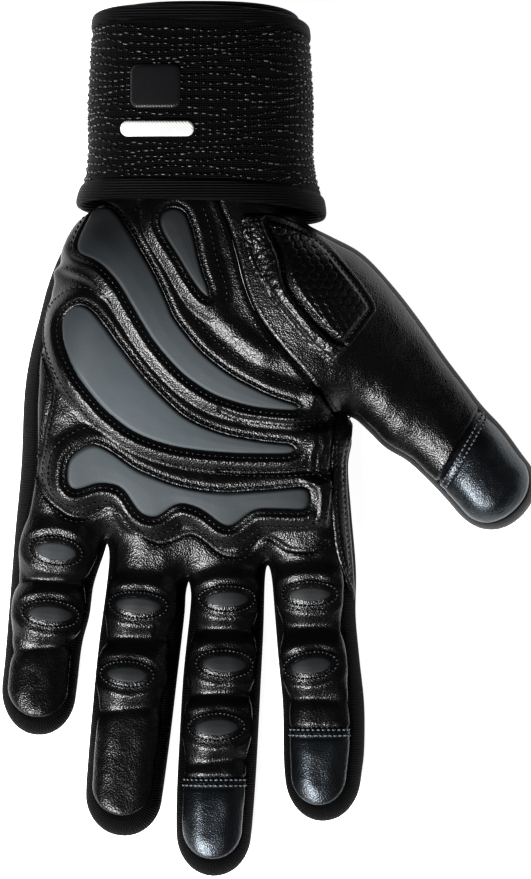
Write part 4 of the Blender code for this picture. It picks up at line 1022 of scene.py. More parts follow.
def thumb_ends(at, inset):
    """Outer and inner end points of the thumb's cross rows, moved inside the outline."""
    columns = [read_table(THUMB_TABLE, column, at) for column in range(1, 6)]
    ends = [np.column_stack(columns[0:2]), np.column_stack(columns[2:4])]
    ramp = smoothstep(at - THUMB_FREE_ROWS + 1)[:, None]
    for index, turn in ((0, 1), (1, -1)):
        ahead, behind = (
            np.column_stack([read_table(THUMB_TABLE, 1 + 2 * index + axis, at + step) for axis in (0, 1)])
            for step in (0.05, -0.05)
        )
        run = ahead - behind
        run /= np.maximum(np.linalg.norm(run, axis=1), 1e-9)[:, None]
        ends[index] = ends[index] + np.column_stack([run[:, 1], -run[:, 0]]) * turn * inset * ramp
    return ends[0], ends[1], columns[4]


def thumb_plan(first, last, count, columns, back=False, tip=False):
    """A grid of plan points between two rows of the thumb, with its round end if asked for."""
    inset = BACK_INSET if back else THUMB_INSET
    outer, inner, keep = thumb_ends(np.linspace(first, last, count), inset)
    seam = resample(SEAM_LINE, columns)
    shares = np.linspace(0.0, 1.0, columns)[:, None]
    bow = seam - (seam[0] + (seam[-1] - seam[0]) * shares)
    grid = outer[:, None, :] + (inner - outer)[:, None, :] * shares[None] + bow[None] * keep[:, None, None]
    if tip:
        turns = np.sin(np.radians(np.linspace(0.0, 88.0, 24)[1:]))
        reach = (THUMB_TIP_HALF_WIDTH - inset) * (1 - turns**THUMB_TIP_POWER) ** (1 / THUMB_TIP_POWER)
        centre = THUMB_TIP_CENTRE + AXIS * (THUMB_TIP_LENGTH - THUMB_END_INSET) * turns[:, None]
        side = np.linspace(1.0, -1.0, columns)[None, :, None]
        grid = np.concatenate([grid, centre[:, None, :] + ACROSS * reach[:, None, None] * side])
    return grid


# %% [markdown]
# The thumb's relief needs its own free edge, which runs from the crotch round the tip to the wrist,
# and the line of its cap's seam. One function gives the heights on both sides of that seam, so that
# the panel and the cap meet without a step.

# %% Relief of the thumb
edge_plan = thumb_plan(2.6, LAST_ROW, 260, 12, tip=True)
THUMB_FRONT_EDGE = np.vstack([edge_plan[:, -1], edge_plan[::-1, 0]])
SEAM_EDGE = np.column_stack([SEAM_LINE[:, 0] + SEAM_GAP, SEAM_LINE[:, 1]])
THUMB_EDGE = Field(np.vstack([THUMB_FRONT_EDGE, [[30.0, PANEL_END], [3.6, PANEL_END]], SEAM_EDGE]), 4.0)
CAP_LINE = thumb_plan(THUMB_CAP_FROM, THUMB_CAP_FROM + 0.1, 2, 2)[0]
CAP_RUN = (CAP_LINE[1] - CAP_LINE[0]) / np.linalg.norm(CAP_LINE[1] - CAP_LINE[0])
CAP_SIDE = np.array([-CAP_RUN[1], CAP_RUN[0]])
CAP_SIDE *= math.copysign(1.0, float(CAP_SIDE @ AXIS))


def thumb_relief(points):
    """Relief of the thumb panel and its cap, on both sides of the cap's seam."""
    inside = -THUMB_EDGE.at(points)
    shape = cap_shape((points - CAP_LINE[0]) @ CAP_SIDE, inside, 0.75, 1.0)
    creases = -0.25 * bell((points - THUMB_ROOT) @ AXIS - 33.0, 4.0) * smoothstep(inside / 5.0)
    return shape + creases + 0.22 * clouds(points, 10.0, 11) + 0.06 * clouds(points, 2.4, 12)


plan = thumb_plan(0.0, THUMB_CAP_FROM, 190, 96)
thumb = lay_sheet("thumb_leather", plan, thumb_relief, LEATHER, thumb=True)
plan = thumb_plan(THUMB_CAP_FROM, LAST_ROW, 34, 52, tip=True)
caps["thumb"] = lay_sheet("thumb_cap_leather", plan, thumb_relief, GRIP, thumb=True)

# %% [markdown]
# The knit walls are one band that follows the outline from the wrist round all four fingers to the
# crotch. Each cross section starts under the palm leather, goes round the outline and ends under the
# back, so no gap opens between them.

# %% Side walls
TUCK = 1.3  # how far a wall reaches under the leather beside it


def band_stations(edge, spacing):
    """Even points along a leather edge and, for each, the nearest point of the outline."""
    front = resample(edge, int(line_length(edge) / spacing))
    tree = line_tree(resample(OUTLINE_LINE, int(line_length(OUTLINE_LINE) / 0.1)))
    outer = np.array([tree.find((x, y, 0.0))[0][:2] for x, y in front])
    padded = np.vstack([outer[:1]] * 2 + [outer] + [outer[-1:]] * 2)
    outer = np.column_stack([np.convolve(padded[:, axis], np.ones(5) / 5, "valid") for axis in (0, 1)])
    return front, outer


def make_band(name, edge, spacing, material, thumb=False, bulge=0.0):
    """A wall that starts under a leather's edge, goes round the outline and ends under the back."""
    front, outer = band_stations(edge, spacing)
    aim = (front - outer) / np.maximum(np.linalg.norm(front - outer, axis=1), 1e-6)[:, None]
    front_part = (front + aim * TUCK, np.linspace(1.0, 0.0, 15), False)
    back_part = (outer + aim * (BACK_INSET + TUCK), np.linspace(0.0, 1.0, 10)[1:], True)
    grid = []
    for end, shares, back in (front_part, back_part):
        inside = -OUTLINE.at(end)
        for share in shares**2.0:
            points = outer + (end - outer) * share
            grid.append(np.column_stack([points, skin_height(points, thumb, back, inside * share)]))
    grid = np.stack(grid, axis=1)
    normals = grid_normals(grid)
    out = np.sign((normals[:, 14, :2] * (outer - front)).sum(axis=1).mean())
    sink = np.concatenate([[-0.5, -0.35, -0.2], np.full(18, bulge), [-0.2, -0.35, -0.5]])
    grid = grid + normals * out * sink[None, :, None]
    along = run_lengths((outer + front) / 2)
    down = np.concatenate([[0.0], np.cumsum(np.linalg.norm(np.diff(grid, axis=1), axis=2).mean(axis=0))])
    uv = np.stack(np.meshgrid(along, down, indexing="ij"), axis=2)
    quads = grid_quads(*grid.shape[:2])
    return make_piece(name, grid, quads if out > 0 else quads[:, ::-1], material, merge=0, uv=uv)


knit_walls = make_band("knit_side_walls", FRONT_EDGE, 0.6, KNIT, bulge=0.1)
thumb_wall = make_band("thumb_side_leather", THUMB_FRONT_EDGE, 0.7, BACK, thumb=True, bulge=0.25)

# %% [markdown]
# The back of the hand and of the thumb lie on the table. They are plain panels of the same comb and
# fan, pressed flat where they rest.

# %% Back panels
BACK_SINK = 0.05
back_plan, back_faces = comb(1.3, 18, back=True)
back = lay_sheet("back_leather", back_plan, lambda points: -BACK_SINK, BACK, back=True, faces=back_faces)
plan = thumb_plan(0.0, LAST_ROW, 90, 30, back=True, tip=True)
thumb_back = lay_sheet("thumb_back_leather", plan, lambda points: -BACK_SINK, BACK, thumb=True, back=True)

# %% [markdown]
# A narrow strip of leather covers the joint between the palm and the knit along the index side. It is
# a ladder between two curves, laid a little above the palm, with a line pressed in along its edge.

# %% Edge strip
STRIP_A = [
    (41.6, -3.0), (43.9, -4.0), (44.9, -8.0), (43.9, -14.0), (43.0, -20.0), (43.6, -32.0), (44.8, -46.0),
    (45.7, -60.0),
]
STRIP_B = [
    (41.6, -3.0), (39.7, -5.5), (39.0, -12.0), (38.8, -20.0), (38.9, -32.0), (40.4, -45.0), (43.0, -54.0),
    (45.7, -60.0),
]


def laid_ring(side_a, side_b):
    """Both sides of a piece that is laid on the leather, its ring, and the ring's distances."""
    a, b = smooth_curve(side_a, 8), smooth_curve(side_b, 8)
    ring = np.vstack([a[:-1], b[:0:-1]])
    return a, b, ring, Field(ring, 2.0, cell=0.3)


strip_a, strip_b, strip_ring, strip_field = laid_ring(STRIP_A, STRIP_B)


def strip_relief(points):
    inside = np.maximum(-strip_field.at(points), 0.0)
    edge = 0.6 + 1.0 * swell(inside / 0.9)
    return edge - 0.35 * bell(inside - 1.1, 0.35) + 0.08 * clouds(points, 3.0, 21)


strip = lay_sheet("index_edge_strip_leather", ladder(strip_a, strip_b, 110, 14), strip_relief, LEATHER)

# %% [markdown]
# The thumb's root is padded by a patch that is sewn on top. A stitched line divides it: foam puffs up
# a ridge on one side, and hexagons are pressed into the other. A texture could draw the hexagons, but
# they are big enough to catch the light, so they are real heights on a fine grid.

# %% Thenar patch
PATCH_A = [
    (12.5, 55.2), (20.0, 55.4), (26.6, 53.3), (36.5, 47.6), (44.1, 39.2), (49.4, 32.4), (52.2, 27.2), (50.2, 23.4),
    (39.6, 9.8),
]
PATCH_B = [(12.5, 55.2), (12.5, 50.8), (14.4, 42.4), (19.0, 33.3), (25.1, 25.0), (32.7, 15.8), (39.6, 9.8)]
PATCH_DIVIDE = [(19.0, 53.0), (20.1, 49.6), (23.6, 42.4), (26.6, 33.3), (33.4, 24.2), (39.5, 18.1), (44.1, 15.5)]
HEXAGON = 2.6  # distance between the hexagons' middles


def hexagon_edge(points, pitch):
    """How near each point is to the side of its hexagon: 0 at its middle and 1 on its side."""
    size = np.array([pitch, pitch * math.sqrt(3)])
    best = np.full(len(points), 1e9)
    for shift in (np.zeros(2), size / 2):
        local = np.abs((points - shift) - np.round((points - shift) / size) * size)
        reach = np.maximum(local[:, 0], local[:, 0] * 0.5 + local[:, 1] * math.sqrt(3) / 2)
        best = np.minimum(best, reach)
    return np.clip(best / (pitch / 2), 0.0, 1.0)


patch_a, patch_b, patch_ring, patch_field = laid_ring(PATCH_A, PATCH_B)
divide_line = smooth_curve(PATCH_DIVIDE)
divide_field = Field(divide_line, 30.0, closed=False)
divide_tree = line_tree(divide_line)


def beyond_divide(points):
    """Positive on the hexagons' side of the dividing line."""
    signs = []
    for x, y in points:
        index = min(divide_tree.find((x, y, 0.0))[1], len(divide_line) - 2)
        run = divide_line[index + 1] - divide_line[index]
        signs.append(run[0] * (y - divide_line[index][1]) - run[1] * (x - divide_line[index][0]))
    return np.sign(signs)


PATCH_RIDGE = [  # distance beyond the dividing line, then the ridge's height
    (-60, 0.0), (-9.0, 0.0), (-7.5, 0.0), (-6.0, 0.3), (-2.6, 1.8), (-1.6, 1.95), (-0.6, 0.9), (0.3, 0.0),
    (1.0, 0.0), (2.0, 0.0), (60, 0.0),
]


def patch_relief(points):
    inside = np.maximum(-patch_field.at(points), 0.0)
    away = divide_field.at(points) * beyond_divide(points)
    base = 0.7 + 0.7 * swell(inside / 1.0) - 0.35 * bell(inside - 1.9, 0.5)
    seam = -0.6 * bell(away, 0.7)
    ridge = read_table(PATCH_RIDGE, 1, away) * smoothstep((inside - 0.5) / 1.3)
    cells = 1 - smoothstep((hexagon_edge(points, HEXAGON) - 0.74) / 0.22)
    embossed = smoothstep((away - 0.8) / 1.6) * smoothstep((inside - 2.2) / 1.6)
    rough = 0.26 * clouds(points, 1.6, 25) * (away < 0)
    return base + seam + ridge + embossed * (0.75 + 0.22 * cells) + rough


patch = lay_sheet("thenar_patch_leather", ladder(patch_a, patch_b, 190, 104), patch_relief, LEATHER, thumb=True)

# %% [markdown]
# Palm, thumb and side wall meet in the crotch, where a sewn glove has a small gusset. Three curved
# edges could be bridged face by face, but a small bead of leather behind them closes the gap as well.

# %% Crotch gusset
GUSSET_MIDDLE = (40.9, -3.6, 13.0)
GUSSET_HALF_SIZES = (2.2, 2.0, 10.0)
turns = np.linspace(0.0, 2 * math.pi, 25)[:-1]
equator = np.column_stack([np.cos(turns), np.sin(turns), np.zeros(24)])
levels = np.radians(np.linspace(-88.0, 88.0, 14))
bead = np.stack([equator * math.cos(level) + [0.0, 0.0, math.sin(level)] for level in levels])
bead = bead * np.array(GUSSET_HALF_SIZES) + np.array(GUSSET_MIDDLE)
gusset = make_piece("crotch_gusset_leather", bead, grid_quads(14, 24, wrap=True), LEATHER)

# %% [markdown]
# The wrist wrap is an elastic strap wound twice. Each layer is a closed ring with a superellipse
# section. The woven face has wavy rows of raised floats, and the edges are bound with ribbed tape.

# %% Wrist wrap
WRAP_ROWS = [  # y, half width, and the height of the top
    (50.0, 37.2, 46.4), (60.0, 36.2, 46.2), (66.0, 34.4, 46.0), (90.0, 33.4, 45.4), (106.0, 32.4, 44.4),
    (120.0, 31.0, 43.0),
]
WRAP_MIDDLE_X = 0.2
WRAP_SINK = 0.6  # the section starts this far under the table, and is pressed flat on it
WRAP_POWERS = (2.7, 2.8)  # of the superellipse's upper and lower half
# Each edge is a y, how much it rises with the height, and how much it slants across.
LOW_EDGE = (56.0, 3.2, 1.8)
HIGH_EDGE = (113.0, 4.3, 1.5)
INNER_LOW_EDGE = (64.5, 0.0, 0.0)
INNER_HIGH_EDGE = (114.0, 4.5, 0.0)
BOTTOM_TAPE, TOP_TAPE, INNER_TAPE = 6.5, 4.5, 4.0
FLOAT_START, FLOAT_PITCH = 60.0, 2.1  # y of the first row of floats, and the distance of the next


def wrap_edge(edge, angle):
    return edge[0] + edge[1] * np.sin(angle) - edge[2] * np.cos(angle)


def wrap_halves(y):
    """Half width and half height of the wrap's section."""
    return read_table(WRAP_ROWS, 1, y), (read_table(WRAP_ROWS, 2, y) + WRAP_SINK) / 2


def wrap_places(angle, y, level):
    """Places on the wrap at angles round it, some levels off its outer face."""
    half_width, half_height = wrap_halves(y)
    power = np.where(np.sin(angle) > 0, WRAP_POWERS[0], WRAP_POWERS[1])
    side = np.sign(np.cos(angle)) * np.abs(np.cos(angle)) ** (2 / power)
    rise = np.sign(np.sin(angle)) * np.abs(np.sin(angle)) ** (2 / power)
    z = half_height - WRAP_SINK + rise * (half_height + level)
    return np.stack([WRAP_MIDDLE_X + side * (half_width + level), y, np.maximum(z, 0.02)], axis=-1)


def even_angles(count):
    """Angles round the wrap at equal distances along its section."""
    angle = np.linspace(0.0, 2 * math.pi, 4001)
    ring = wrap_places(angle, np.full(4001, 85.0), 0.0)[:, [0, 2]]
    lengths = run_lengths(ring)
    return np.interp(np.linspace(0.0, lengths[-1], count + 1)[:-1], lengths, angle), lengths[-1]


# %% [markdown]
# A strap wound round a wrist is a ring with a thin section, and so is the tape folded over its edge.
# A curve with a bevel could sweep such a section, but the wrap narrows upwards and its edges slant.
# So each ring is laid step by step from its two edge lines, with a UV map in millimetres for the weave.

# %% Rings of the wrap


def make_ring(name, profile, count, material, relief=None):
    """A closed ring. Its profile gives two edges' share and the level at each step round its section."""
    angles, girth = even_angles(count)
    grid, uv = [], []
    for low, high, share, level in profile:
        y = low(angles) + (high(angles) - low(angles)) * share
        up = np.full(count, float(level))
        if relief is not None and level == profile[0][3]:
            up = up + relief(angles * girth / (2 * math.pi), y)
        grid.append(wrap_places(angles, y, up))
        uv.append(np.column_stack([np.linspace(0.0, girth, count), y]))
    grid = np.stack(grid + [grid[0]], axis=1)
    uv = np.stack(uv + [uv[0]], axis=1)
    quads = grid_quads(count, grid.shape[1])
    closing = grid_quads(2, grid.shape[1])
    closing = np.where(closing >= grid.shape[1], closing - grid.shape[1], closing + (count - 1) * grid.shape[1])
    return make_piece(name, grid, np.vstack([quads, closing])[:, ::-1], material, merge=0.001, uv=uv)


def edge_line(edge, shift=0.0):
    return lambda angle: wrap_edge(edge, angle) + shift


def layer_profile(low, high, steps, levels):
    """The section of a flat strap: out along its outer face and back along its inner one."""
    outer = [(low, high, share, levels[0]) for share in np.linspace(0.0, 1.0, steps)]
    return outer + [(low, high, share, levels[1]) for share in np.linspace(1.0, 0.0, 5)]


def tape_profile(low, height, levels):
    """The section of a folded tape, a flat superellipse."""
    high = lambda angle: low(angle) + height
    middle, half = (levels[0] + levels[1]) / 2, (levels[0] - levels[1]) / 2
    section = []
    for turn in np.linspace(0.0, 2 * math.pi, 29)[:-1]:
        across = math.copysign(abs(math.cos(turn)) ** 0.55, math.cos(turn))
        rise = math.copysign(abs(math.sin(turn)) ** 0.7, math.sin(turn))
        section.append((low, high, 0.5 - 0.5 * across, middle + half * rise))
    return section


def row_wave(along, k):
    """How each row of floats wanders from its straight line."""
    slow = np.sin(along / 8.5 + 0.5 * k) + 0.35 * np.sin(along / 3.1 + 4.1 * k)
    return slow + 0.3 * np.sin(along * 1.25 + 3.0 * k)


def float_relief(along, y):
    k = np.round((y - FLOAT_START) / FLOAT_PITCH)
    away = y - FLOAT_START - k * FLOAT_PITCH - row_wave(along, k) * 0.5
    return 0.2 * bell(away, 0.75)


OVERLAP = 0.8  # how far a strap runs on under its tape
low, high = edge_line(LOW_EDGE, BOTTOM_TAPE - OVERLAP), edge_line(HIGH_EDGE, OVERLAP - TOP_TAPE)
wrap = make_ring("wrap_outer_elastic", layer_profile(low, high, 100, (0.0, -1.7)), 360, WRAP, float_relief)
inner_edges = edge_line(INNER_LOW_EDGE), edge_line(INNER_HIGH_EDGE, OVERLAP - INNER_TAPE)
wrap_inner = make_ring("wrap_inner_elastic", layer_profile(*inner_edges, 40, (-2.4, -3.7)), 200, WRAP)
tapes = [
    make_ring(f"wrap_{name}_tape", tape_profile(edge_line(edge, shift), height, levels), count, BINDING)
    for name, edge, shift, height, levels, count in (
        ("bottom", LOW_EDGE, 0.0, BOTTOM_TAPE, (0.9, -2.0), 260),
        ("top", HIGH_EDGE, -TOP_TAPE, TOP_TAPE, (0.8, -2.0), 260),
        ("inner", INNER_HIGH_EDGE, -INNER_TAPE, INNER_TAPE, (-2.1, -4.0), 220),
    )
]

# %% [markdown]
# A plain satin-stitch bar and a plain square in black thread decorate the wrap. Both are low padded
# shapes on its upper face, with the thread's direction in their relief.

# %% Embroidery on the wrap
BADGES = [  # name, x and y of the middle, width, height, corner, thread, slant, material, bare margin
    ("satin_bar", -12.5, 80.5, 22.0, 4.8, 2.3, 0.55, 0.35, SATIN, 0.6),
    ("tonal_square", -13.0, 93.0, 15.0, 13.0, 2.5, 0.6, -0.5, TONAL, 0.5),
]


def on_wrap(points, lift):
    """Places on the upper face of the wrap, over plan points."""
    points = np.asarray(points, dtype=float)
    half_width, half_height = wrap_halves(points[:, 1])
    share = np.clip(np.abs(points[:, 0] - WRAP_MIDDLE_X) / half_width, 0.0, 0.999)
    z = half_height * 2 - WRAP_SINK - half_height * (1 - (1 - share ** WRAP_POWERS[0]) ** (1 / WRAP_POWERS[0]))
    return np.column_stack([points, z + lift])


def make_badge(name, x, y, width, height, corner, thread, slant, material):
    """A low satin-stitched shape with round corners. Its threads cross it at a slant."""
    across, down = (np.linspace(-1.0, 1.0, int(side / 0.2)) * side / 2 for side in (width, height))
    u, v = np.meshgrid(across, down)
    inner = np.array([width / 2 - corner, height / 2 - corner])
    beyond = np.maximum(np.abs(np.stack([u, v], axis=2)) - inner, 0.0)
    far = np.linalg.norm(beyond, axis=2)
    pull = np.minimum(1.0, corner / np.maximum(far, 1e-6))
    u, v = (
        np.where(far > corner, np.sign(at) * (np.minimum(np.abs(at), inner[k]) + beyond[:, :, k] * pull), at)
        for k, at in enumerate((u, v))
    )
    inside = np.minimum(width / 2 - np.abs(u), height / 2 - np.abs(v))
    inside = np.minimum(inside, np.where(far > 0, corner - np.minimum(far, corner), inside))
    lift = 0.3 + 0.75 * swell(inside / 1.2) + 0.07 * np.sin(2 * math.pi * (u + slant * v) / thread)
    flat = np.column_stack([(x + u).ravel(), (y + v).ravel()])
    return make_piece(name, on_wrap(flat, lift.ravel()), grid_quads(*u.shape), material, merge=0.001, up=(0, 0, 1))


badges = [make_badge(*row[:-1]) for row in BADGES]

# %% [markdown]
# Stitches repeat along every seam, so one Geometry Nodes tree makes them all: it turns a line into
# evenly spaced points, puts a slim stitch on each, turned along the line, and gives it its thread.

# %% Stitch tree


def stitch_tree():
    tree = bpy.data.node_groups.new("stitches_along_lines", "GeometryNodeTree")
    tree.interface.new_socket("Geometry", in_out="INPUT", socket_type="NodeSocketGeometry")
    tree.interface.new_socket("Geometry", in_out="OUTPUT", socket_type="NodeSocketGeometry")
    for name, value in (("Spacing", 0.003), ("Stitch Length", 0.0022), ("Thread Radius", 0.0002)):
        socket = tree.interface.new_socket(name, in_out="INPUT", socket_type="NodeSocketFloat")
        socket.default_value = value
    tree.interface.new_socket("Thread", in_out="INPUT", socket_type="NodeSocketMaterial")
    source = add_node(tree, "NodeGroupInput")
    curve = add_node(tree, "GeometryNodeMeshToCurve", None, {"Mesh": source.outputs["Geometry"]})
    inputs = {"Curve": curve.outputs["Curve"], "Length": source.outputs["Spacing"]}
    points = add_node(tree, "GeometryNodeResampleCurve", {"mode": "LENGTH"}, inputs)
    along = add_node(tree, "GeometryNodeInputTangent")
    turn = add_node(tree, "FunctionNodeAlignRotationToVector", {"axis": "X"}, {"Vector": along.outputs["Tangent"]})
    half = add_node(tree, "ShaderNodeMath", {"operation": "MULTIPLY"}, {0: source.outputs["Stitch Length"], 1: 0.5})
    inputs = {"X": half.outputs[0], "Y": source.outputs["Thread Radius"], "Z": source.outputs["Thread Radius"]}
    size = add_node(tree, "ShaderNodeCombineXYZ", None, inputs)
    shape = add_node(tree, "GeometryNodeMeshUVSphere", None, {"Segments": 7, "Rings": 5, "Radius": 1.0})
    smooth = add_node(tree, "GeometryNodeSetShadeSmooth", None, {"Geometry": shape.outputs["Mesh"]})
    inputs = {
        "Points": points.outputs["Curve"],
        "Instance": smooth.outputs["Geometry"],
        "Rotation": turn.outputs["Rotation"],
        "Scale": size.outputs["Vector"],
    }
    placed = add_node(tree, "GeometryNodeInstanceOnPoints", None, inputs)
    real = add_node(tree, "GeometryNodeRealizeInstances", None, {"Geometry": placed.outputs["Instances"]})
    inputs = {"Geometry": real.outputs["Geometry"], "Material": source.outputs["Thread"]}
    dressed = add_node(tree, "GeometryNodeSetMaterial", None, inputs)
    add_node(tree, "NodeGroupOutput", None, {"Geometry": dressed.outputs["Geometry"]})
    return tree


STITCHES = stitch_tree()


def sew(name, lines, thread, spacing, length, radius):
    """Makes the stitches along some lines of places in millimetres, as one plain mesh."""
    points, edges = [], []
    for line in lines:
        edges += [(len(points) + index, len(points) + index + 1) for index in range(len(line) - 1)]
        points += [tuple(np.asarray(place) * MM) for place in line]
    mesh = bpy.data.meshes.new(f"{name}_lines")
    mesh.from_pydata(points, edges, [])
    piece = bpy.data.objects.new(name, mesh)
    bpy.context.scene.collection.objects.link(piece)
    modifier = piece.modifiers.new("stitches", "NODES")
    modifier.node_group = STITCHES
    values = {"Spacing": spacing * MM, "Stitch Length": length * MM, "Thread Radius": radius * MM, "Thread": thread}
    for item in STITCHES.interface.items_tree:
        if item.in_out == "INPUT" and item.name in values:
            modifier[item.identifier] = values[item.name]
    evaluated = piece.evaluated_get(bpy.context.evaluated_depsgraph_get())
    made = bpy.data.meshes.new_from_object(evaluated)
    piece.modifiers.clear()
    piece.data = made
    made.name = name
    print(name, len(made.polygons), "faces")
    return piece


# %% [markdown]
# Thread holds the pads, the seams and the inlays. Its lines could be drawn by hand, but the rings and
# seams above are already there, so the stitches run on copies of them, moved aside, laid on the same
# relief, and cut where they leave the leather or run under the wrap.

# %% Seams that are sewn
UNDER_WRAP = 57.0  # y beyond which the wrap covers the leather
FINE_THREAD = (1.7, 1.25)  # spacing and length of a stitch


def moved_out(ring, width, closed=True):
    """A line moved aside by a width, to the outside of a closed ring or to the left of an open line."""
    line = resample(np.vstack([ring, ring[:1]]) if closed else ring, max(8, int(line_length(ring) / 0.5)))
    run = np.gradient(line, axis=0)
    if closed:
        run[0] = run[-1] = line[1] - line[-2]
    run /= np.linalg.norm(run, axis=1)[:, None]
    aside = np.column_stack([-run[:, 1], run[:, 0]])
    if closed:
        area = np.sum(line[:-1, 0] * line[1:, 1] - line[1:, 0] * line[:-1, 1])
        aside *= -math.copysign(1.0, area)
    return line + aside * width


def split_line(places, gap=2.5):
    """Cuts a line where its neighbouring places are far apart."""
    cuts = np.where(np.linalg.norm(np.diff(places, axis=0), axis=1) > gap)[0] + 1
    return [part for part in np.split(places, cuts) if len(part) > 3]


def palm_lines(points, lift=0.12):
    """Lines on the palm leather, cut where they leave it."""
    points = points[(PALM_EDGE.at(points) < -0.5) & (points[:, 1] < UNDER_WRAP)]
    return split_line(raise_off(points, palm_relief(points) + lift))


def thumb_lines(points, lift=0.12):
    points = points[(THUMB_EDGE.at(points) < -0.5) & (points[:, 1] < UNDER_WRAP)]
    return split_line(raise_off(points, thumb_relief(points) + lift, True))


sewn, beads = [], []
for name, ring in INLAY_RINGS.items():
    if name in PALM_INLAYS:
        outer = moved_out(ring, 5.3)
        far = np.min([INLAY_FIELDS[key].at(outer) for key in PALM_INLAYS], axis=0)
        sewn += palm_lines(moved_out(ring, 1.1)) + palm_lines(outer[far > 5.0])
    else:
        beads += palm_lines(moved_out(ring, 1.35), 0.2)
for line in SEAM_LINES:
    for side in (-0.95, 0.95):
        sewn += palm_lines(moved_out(line, side, closed=False))
for side in (-1.7, 1.7):
    line = moved_out(SEAM_LINE, side, closed=False)
    sewn += palm_lines(line) if PALM_EDGE.at(line).mean() < 0 else thumb_lines(line)
stitches = sew("palm_stitches", sewn, THREAD, *FINE_THREAD, 0.22)
bead_stitches = sew("finger_pad_stitches", beads, THREAD, 1.2, 1.15, 0.4)

# %% [markdown]
# The patch has a stitched border and its dividing line, the strip one line inside its edge, and each
# cap two rows of thicker grey thread beside its seam.

# %% Stitches of the patch, the strip and the caps
ring = moved_out(patch_ring, -2.0)
ring = ring[ring[:, 1] < UNDER_WRAP]
patch_sewn = split_line(raise_off(ring, patch_relief(ring) + 0.12, True))
inside_patch = resample(divide_line[patch_field.at(divide_line) < -2.0], 90)
patch_sewn.append(raise_off(inside_patch, patch_relief(inside_patch) + 0.15, True))
patch_stitches = sew("patch_stitches", patch_sewn, THREAD, *FINE_THREAD, 0.2)

ring = moved_out(strip_ring, -1.1)
ring = ring[strip_field.at(ring) < -0.8]
strip_sewn = split_line(raise_off(ring, np.full(len(ring), 1.5)))
strip_stitches = sew("strip_stitches", strip_sewn, THREAD, *FINE_THREAD, 0.18)

cap_lines = []
for finger, y in CAP_SEAMS.items():
    for offset in (0.5, 2.2):
        left, right = (ray_edge(finger, side, np.array([y - offset]))[0] for side in ("left", "right"))
        line = np.column_stack([np.linspace(left + 0.8, right - 0.8, 40), np.full(40, y - offset)])
        cap_lines.append(raise_off(line, cap_relief(line, np.full(40, offset)) + 0.3))
for offset in (1.3, 2.9):
    line = CAP_LINE[0] + (CAP_LINE[1] - CAP_LINE[0]) * np.linspace(0.04, 0.96, 50)[:, None] + CAP_SIDE * offset
    cap_lines.append(raise_off(line, thumb_relief(line) + 0.15, True))
cap_stitches = sew("cap_stitches", cap_lines, GREY_THREAD, 1.45, 1.25, 0.36)

# %% [markdown]
# In woven elastic, some yarns float over the others, in wavy rows round the wrap. They catch the light
# one by one, so they are real threads from the stitch tree. Here and there a run of them is left out,
# and so are those under the tapes and the embroidery.

# %% Floats of the wrap
float_lines = []
angles, girth = even_angles(900)
along = angles * girth / (2 * math.pi)
chance = np.random.default_rng(7)
for k in range(2, 25):
    y = FLOAT_START + k * FLOAT_PITCH + row_wave(along, k) * 0.8
    fits = (y > low(angles) + 1.2) & (y < high(angles) - 1.2)
    places = wrap_places(angles, y, 0.2)
    fits &= np.repeat(chance.random(90) > 0.16, 10)
    for _, badge_x, badge_y, width, height, *_, margin in BADGES:
        beside = np.abs(places[:, 0] - badge_x) >= width / 2 + margin
        fits &= beside | (np.abs(y - badge_y) >= height / 2 + margin) | (places[:, 2] <= 20)
    float_lines += split_line(places[fits])
floats = sew("wrap_floats", float_lines, FLOATS, 2.1, 1.75, 0.3)

# %% [markdown]
# Every piece goes into the frame: it rides with the glove and stands for the plain solids behind it.

# %% Into the frame
settle(palm, ["palm_panel"] + [f"pad_{name}" for name in INLAY_RINGS])
for name, piece in inlays.items():
    settle(piece, [f"inlay_{name}"])
for name, piece in caps.items():
    settle(piece, [f"{name}_cap"])
settle(thumb, ["thumb_panel"])
settle(back, ["back_panel"])
settle(thumb_back, ["thumb_back"])
settle(thumb_wall, ["thumb_side"])
settle(knit_walls, ["side_little", "web_little_ring", "web_ring_middle", "web_middle_index", "side_index"])
settle(strip, ["index_edge_strip"])
settle(patch, ["thenar_patch"])
settle(gusset, [])
settle(wrap, ["wrap_outer"])
settle(wrap_inner, ["wrap_inner"])
for piece, name in zip(tapes, ["bottom", "top", "inner"]):
    settle(piece, [f"wrap_binding_{name}"])
for piece in (*badges, floats):
    settle(piece, [])
for piece in (stitches, bead_stitches, patch_stitches, strip_stitches, cap_stitches):
    settle(piece, [])

# %% [markdown]
# A white table, a camera straight above, and two soft boxes: a broad key from the lower left, which
# puts the highlights on the lower sides of the ridges, and a weak fill from the right, under a faint
# white sky.

# %% Floor, camera and lights


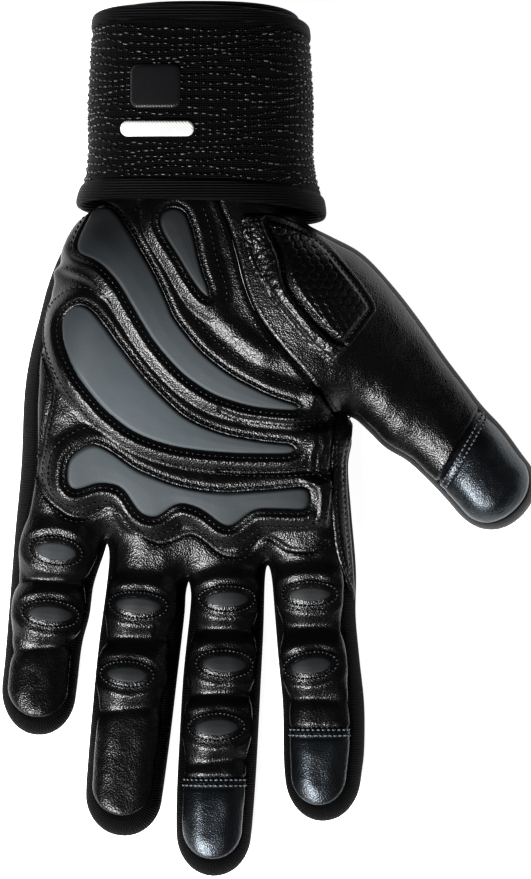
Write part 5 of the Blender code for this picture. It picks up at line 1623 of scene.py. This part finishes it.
def make_floor():
    numbers = {"Roughness": 0.75, "Specular IOR Level": 0.2, "Emission Strength": 0.96}
    numbers["Emission Color"] = colour("#ffffff")
    floor_material, tree, shader = new_material("white_table_top", numbers)
    place = add_node(tree, "ShaderNodeTexCoord").outputs["Object"]
    mottle = add_node(tree, "ShaderNodeTexNoise", None, {"Vector": place, "Scale": 12.0, "Detail": 3.0})
    dress(tree, shader, mottle.outputs["Fac"], "#fafafa", "#ffffff")
    mesh = bpy.data.meshes.new("table_top")
    side, level = 3.0, -0.0006
    corners = [(-side, -side, level), (side, -side, level), (side, side, level), (-side, side, level)]
    mesh.from_pydata(corners, [], [(0, 1, 2, 3)])
    mesh.materials.append(floor_material)
    floor = bpy.data.objects.new("table_top", mesh)
    bpy.context.scene.collection.objects.link(floor)
    return floor


def add_softbox(name, place, target, size, power):
    light = bpy.data.lights.new(name, "AREA")
    light.shape = "RECTANGLE"
    light.size, light.size_y = size
    light.energy = power
    obj = bpy.data.objects.new(name, light)
    bpy.context.scene.collection.objects.link(obj)
    obj.location = place
    obj.rotation_euler = (Vector(target) - Vector(place)).to_track_quat("-Z", "Y").to_euler()


make_floor()
FRAME_HEIGHT = 879 * 0.0003  # the photograph's rows, at 0.3 mm for each
CAMERA_HEIGHT = 3.0
CAMERA_LEVEL = 0.012  # the level in the glove at which the scale is true
SENSOR = 24.0
camera_data = bpy.data.cameras.new("camera")
camera_data.sensor_width = SENSOR
camera_data.lens = SENSOR * CAMERA_HEIGHT / FRAME_HEIGHT
camera = bpy.data.objects.new("camera", camera_data)
bpy.context.scene.collection.objects.link(camera)
camera.location = (0.01965, -0.01185, CAMERA_HEIGHT + CAMERA_LEVEL)
bpy.context.scene.camera = camera

add_softbox("key_lower_left", (-0.45, -0.75, 0.8), (0.0, -0.02, 0.0), (0.6, 0.45), 31.0)
add_softbox("fill_right", (0.95, 0.1, 0.5), (0.0, 0.0, 0.0), (0.2, 0.7), 0.6)
world = bpy.data.worlds.new("studio")
world.use_nodes = True
world.node_tree.nodes["Background"].inputs["Color"].default_value = colour("#ffffff")
world.node_tree.nodes["Background"].inputs["Strength"].default_value = 0.03
bpy.context.scene.world = world
bpy.context.scene.view_settings.view_transform = "Standard"
bpy.context.scene.view_settings.gamma = 0.75  # deeper darks beside the same white
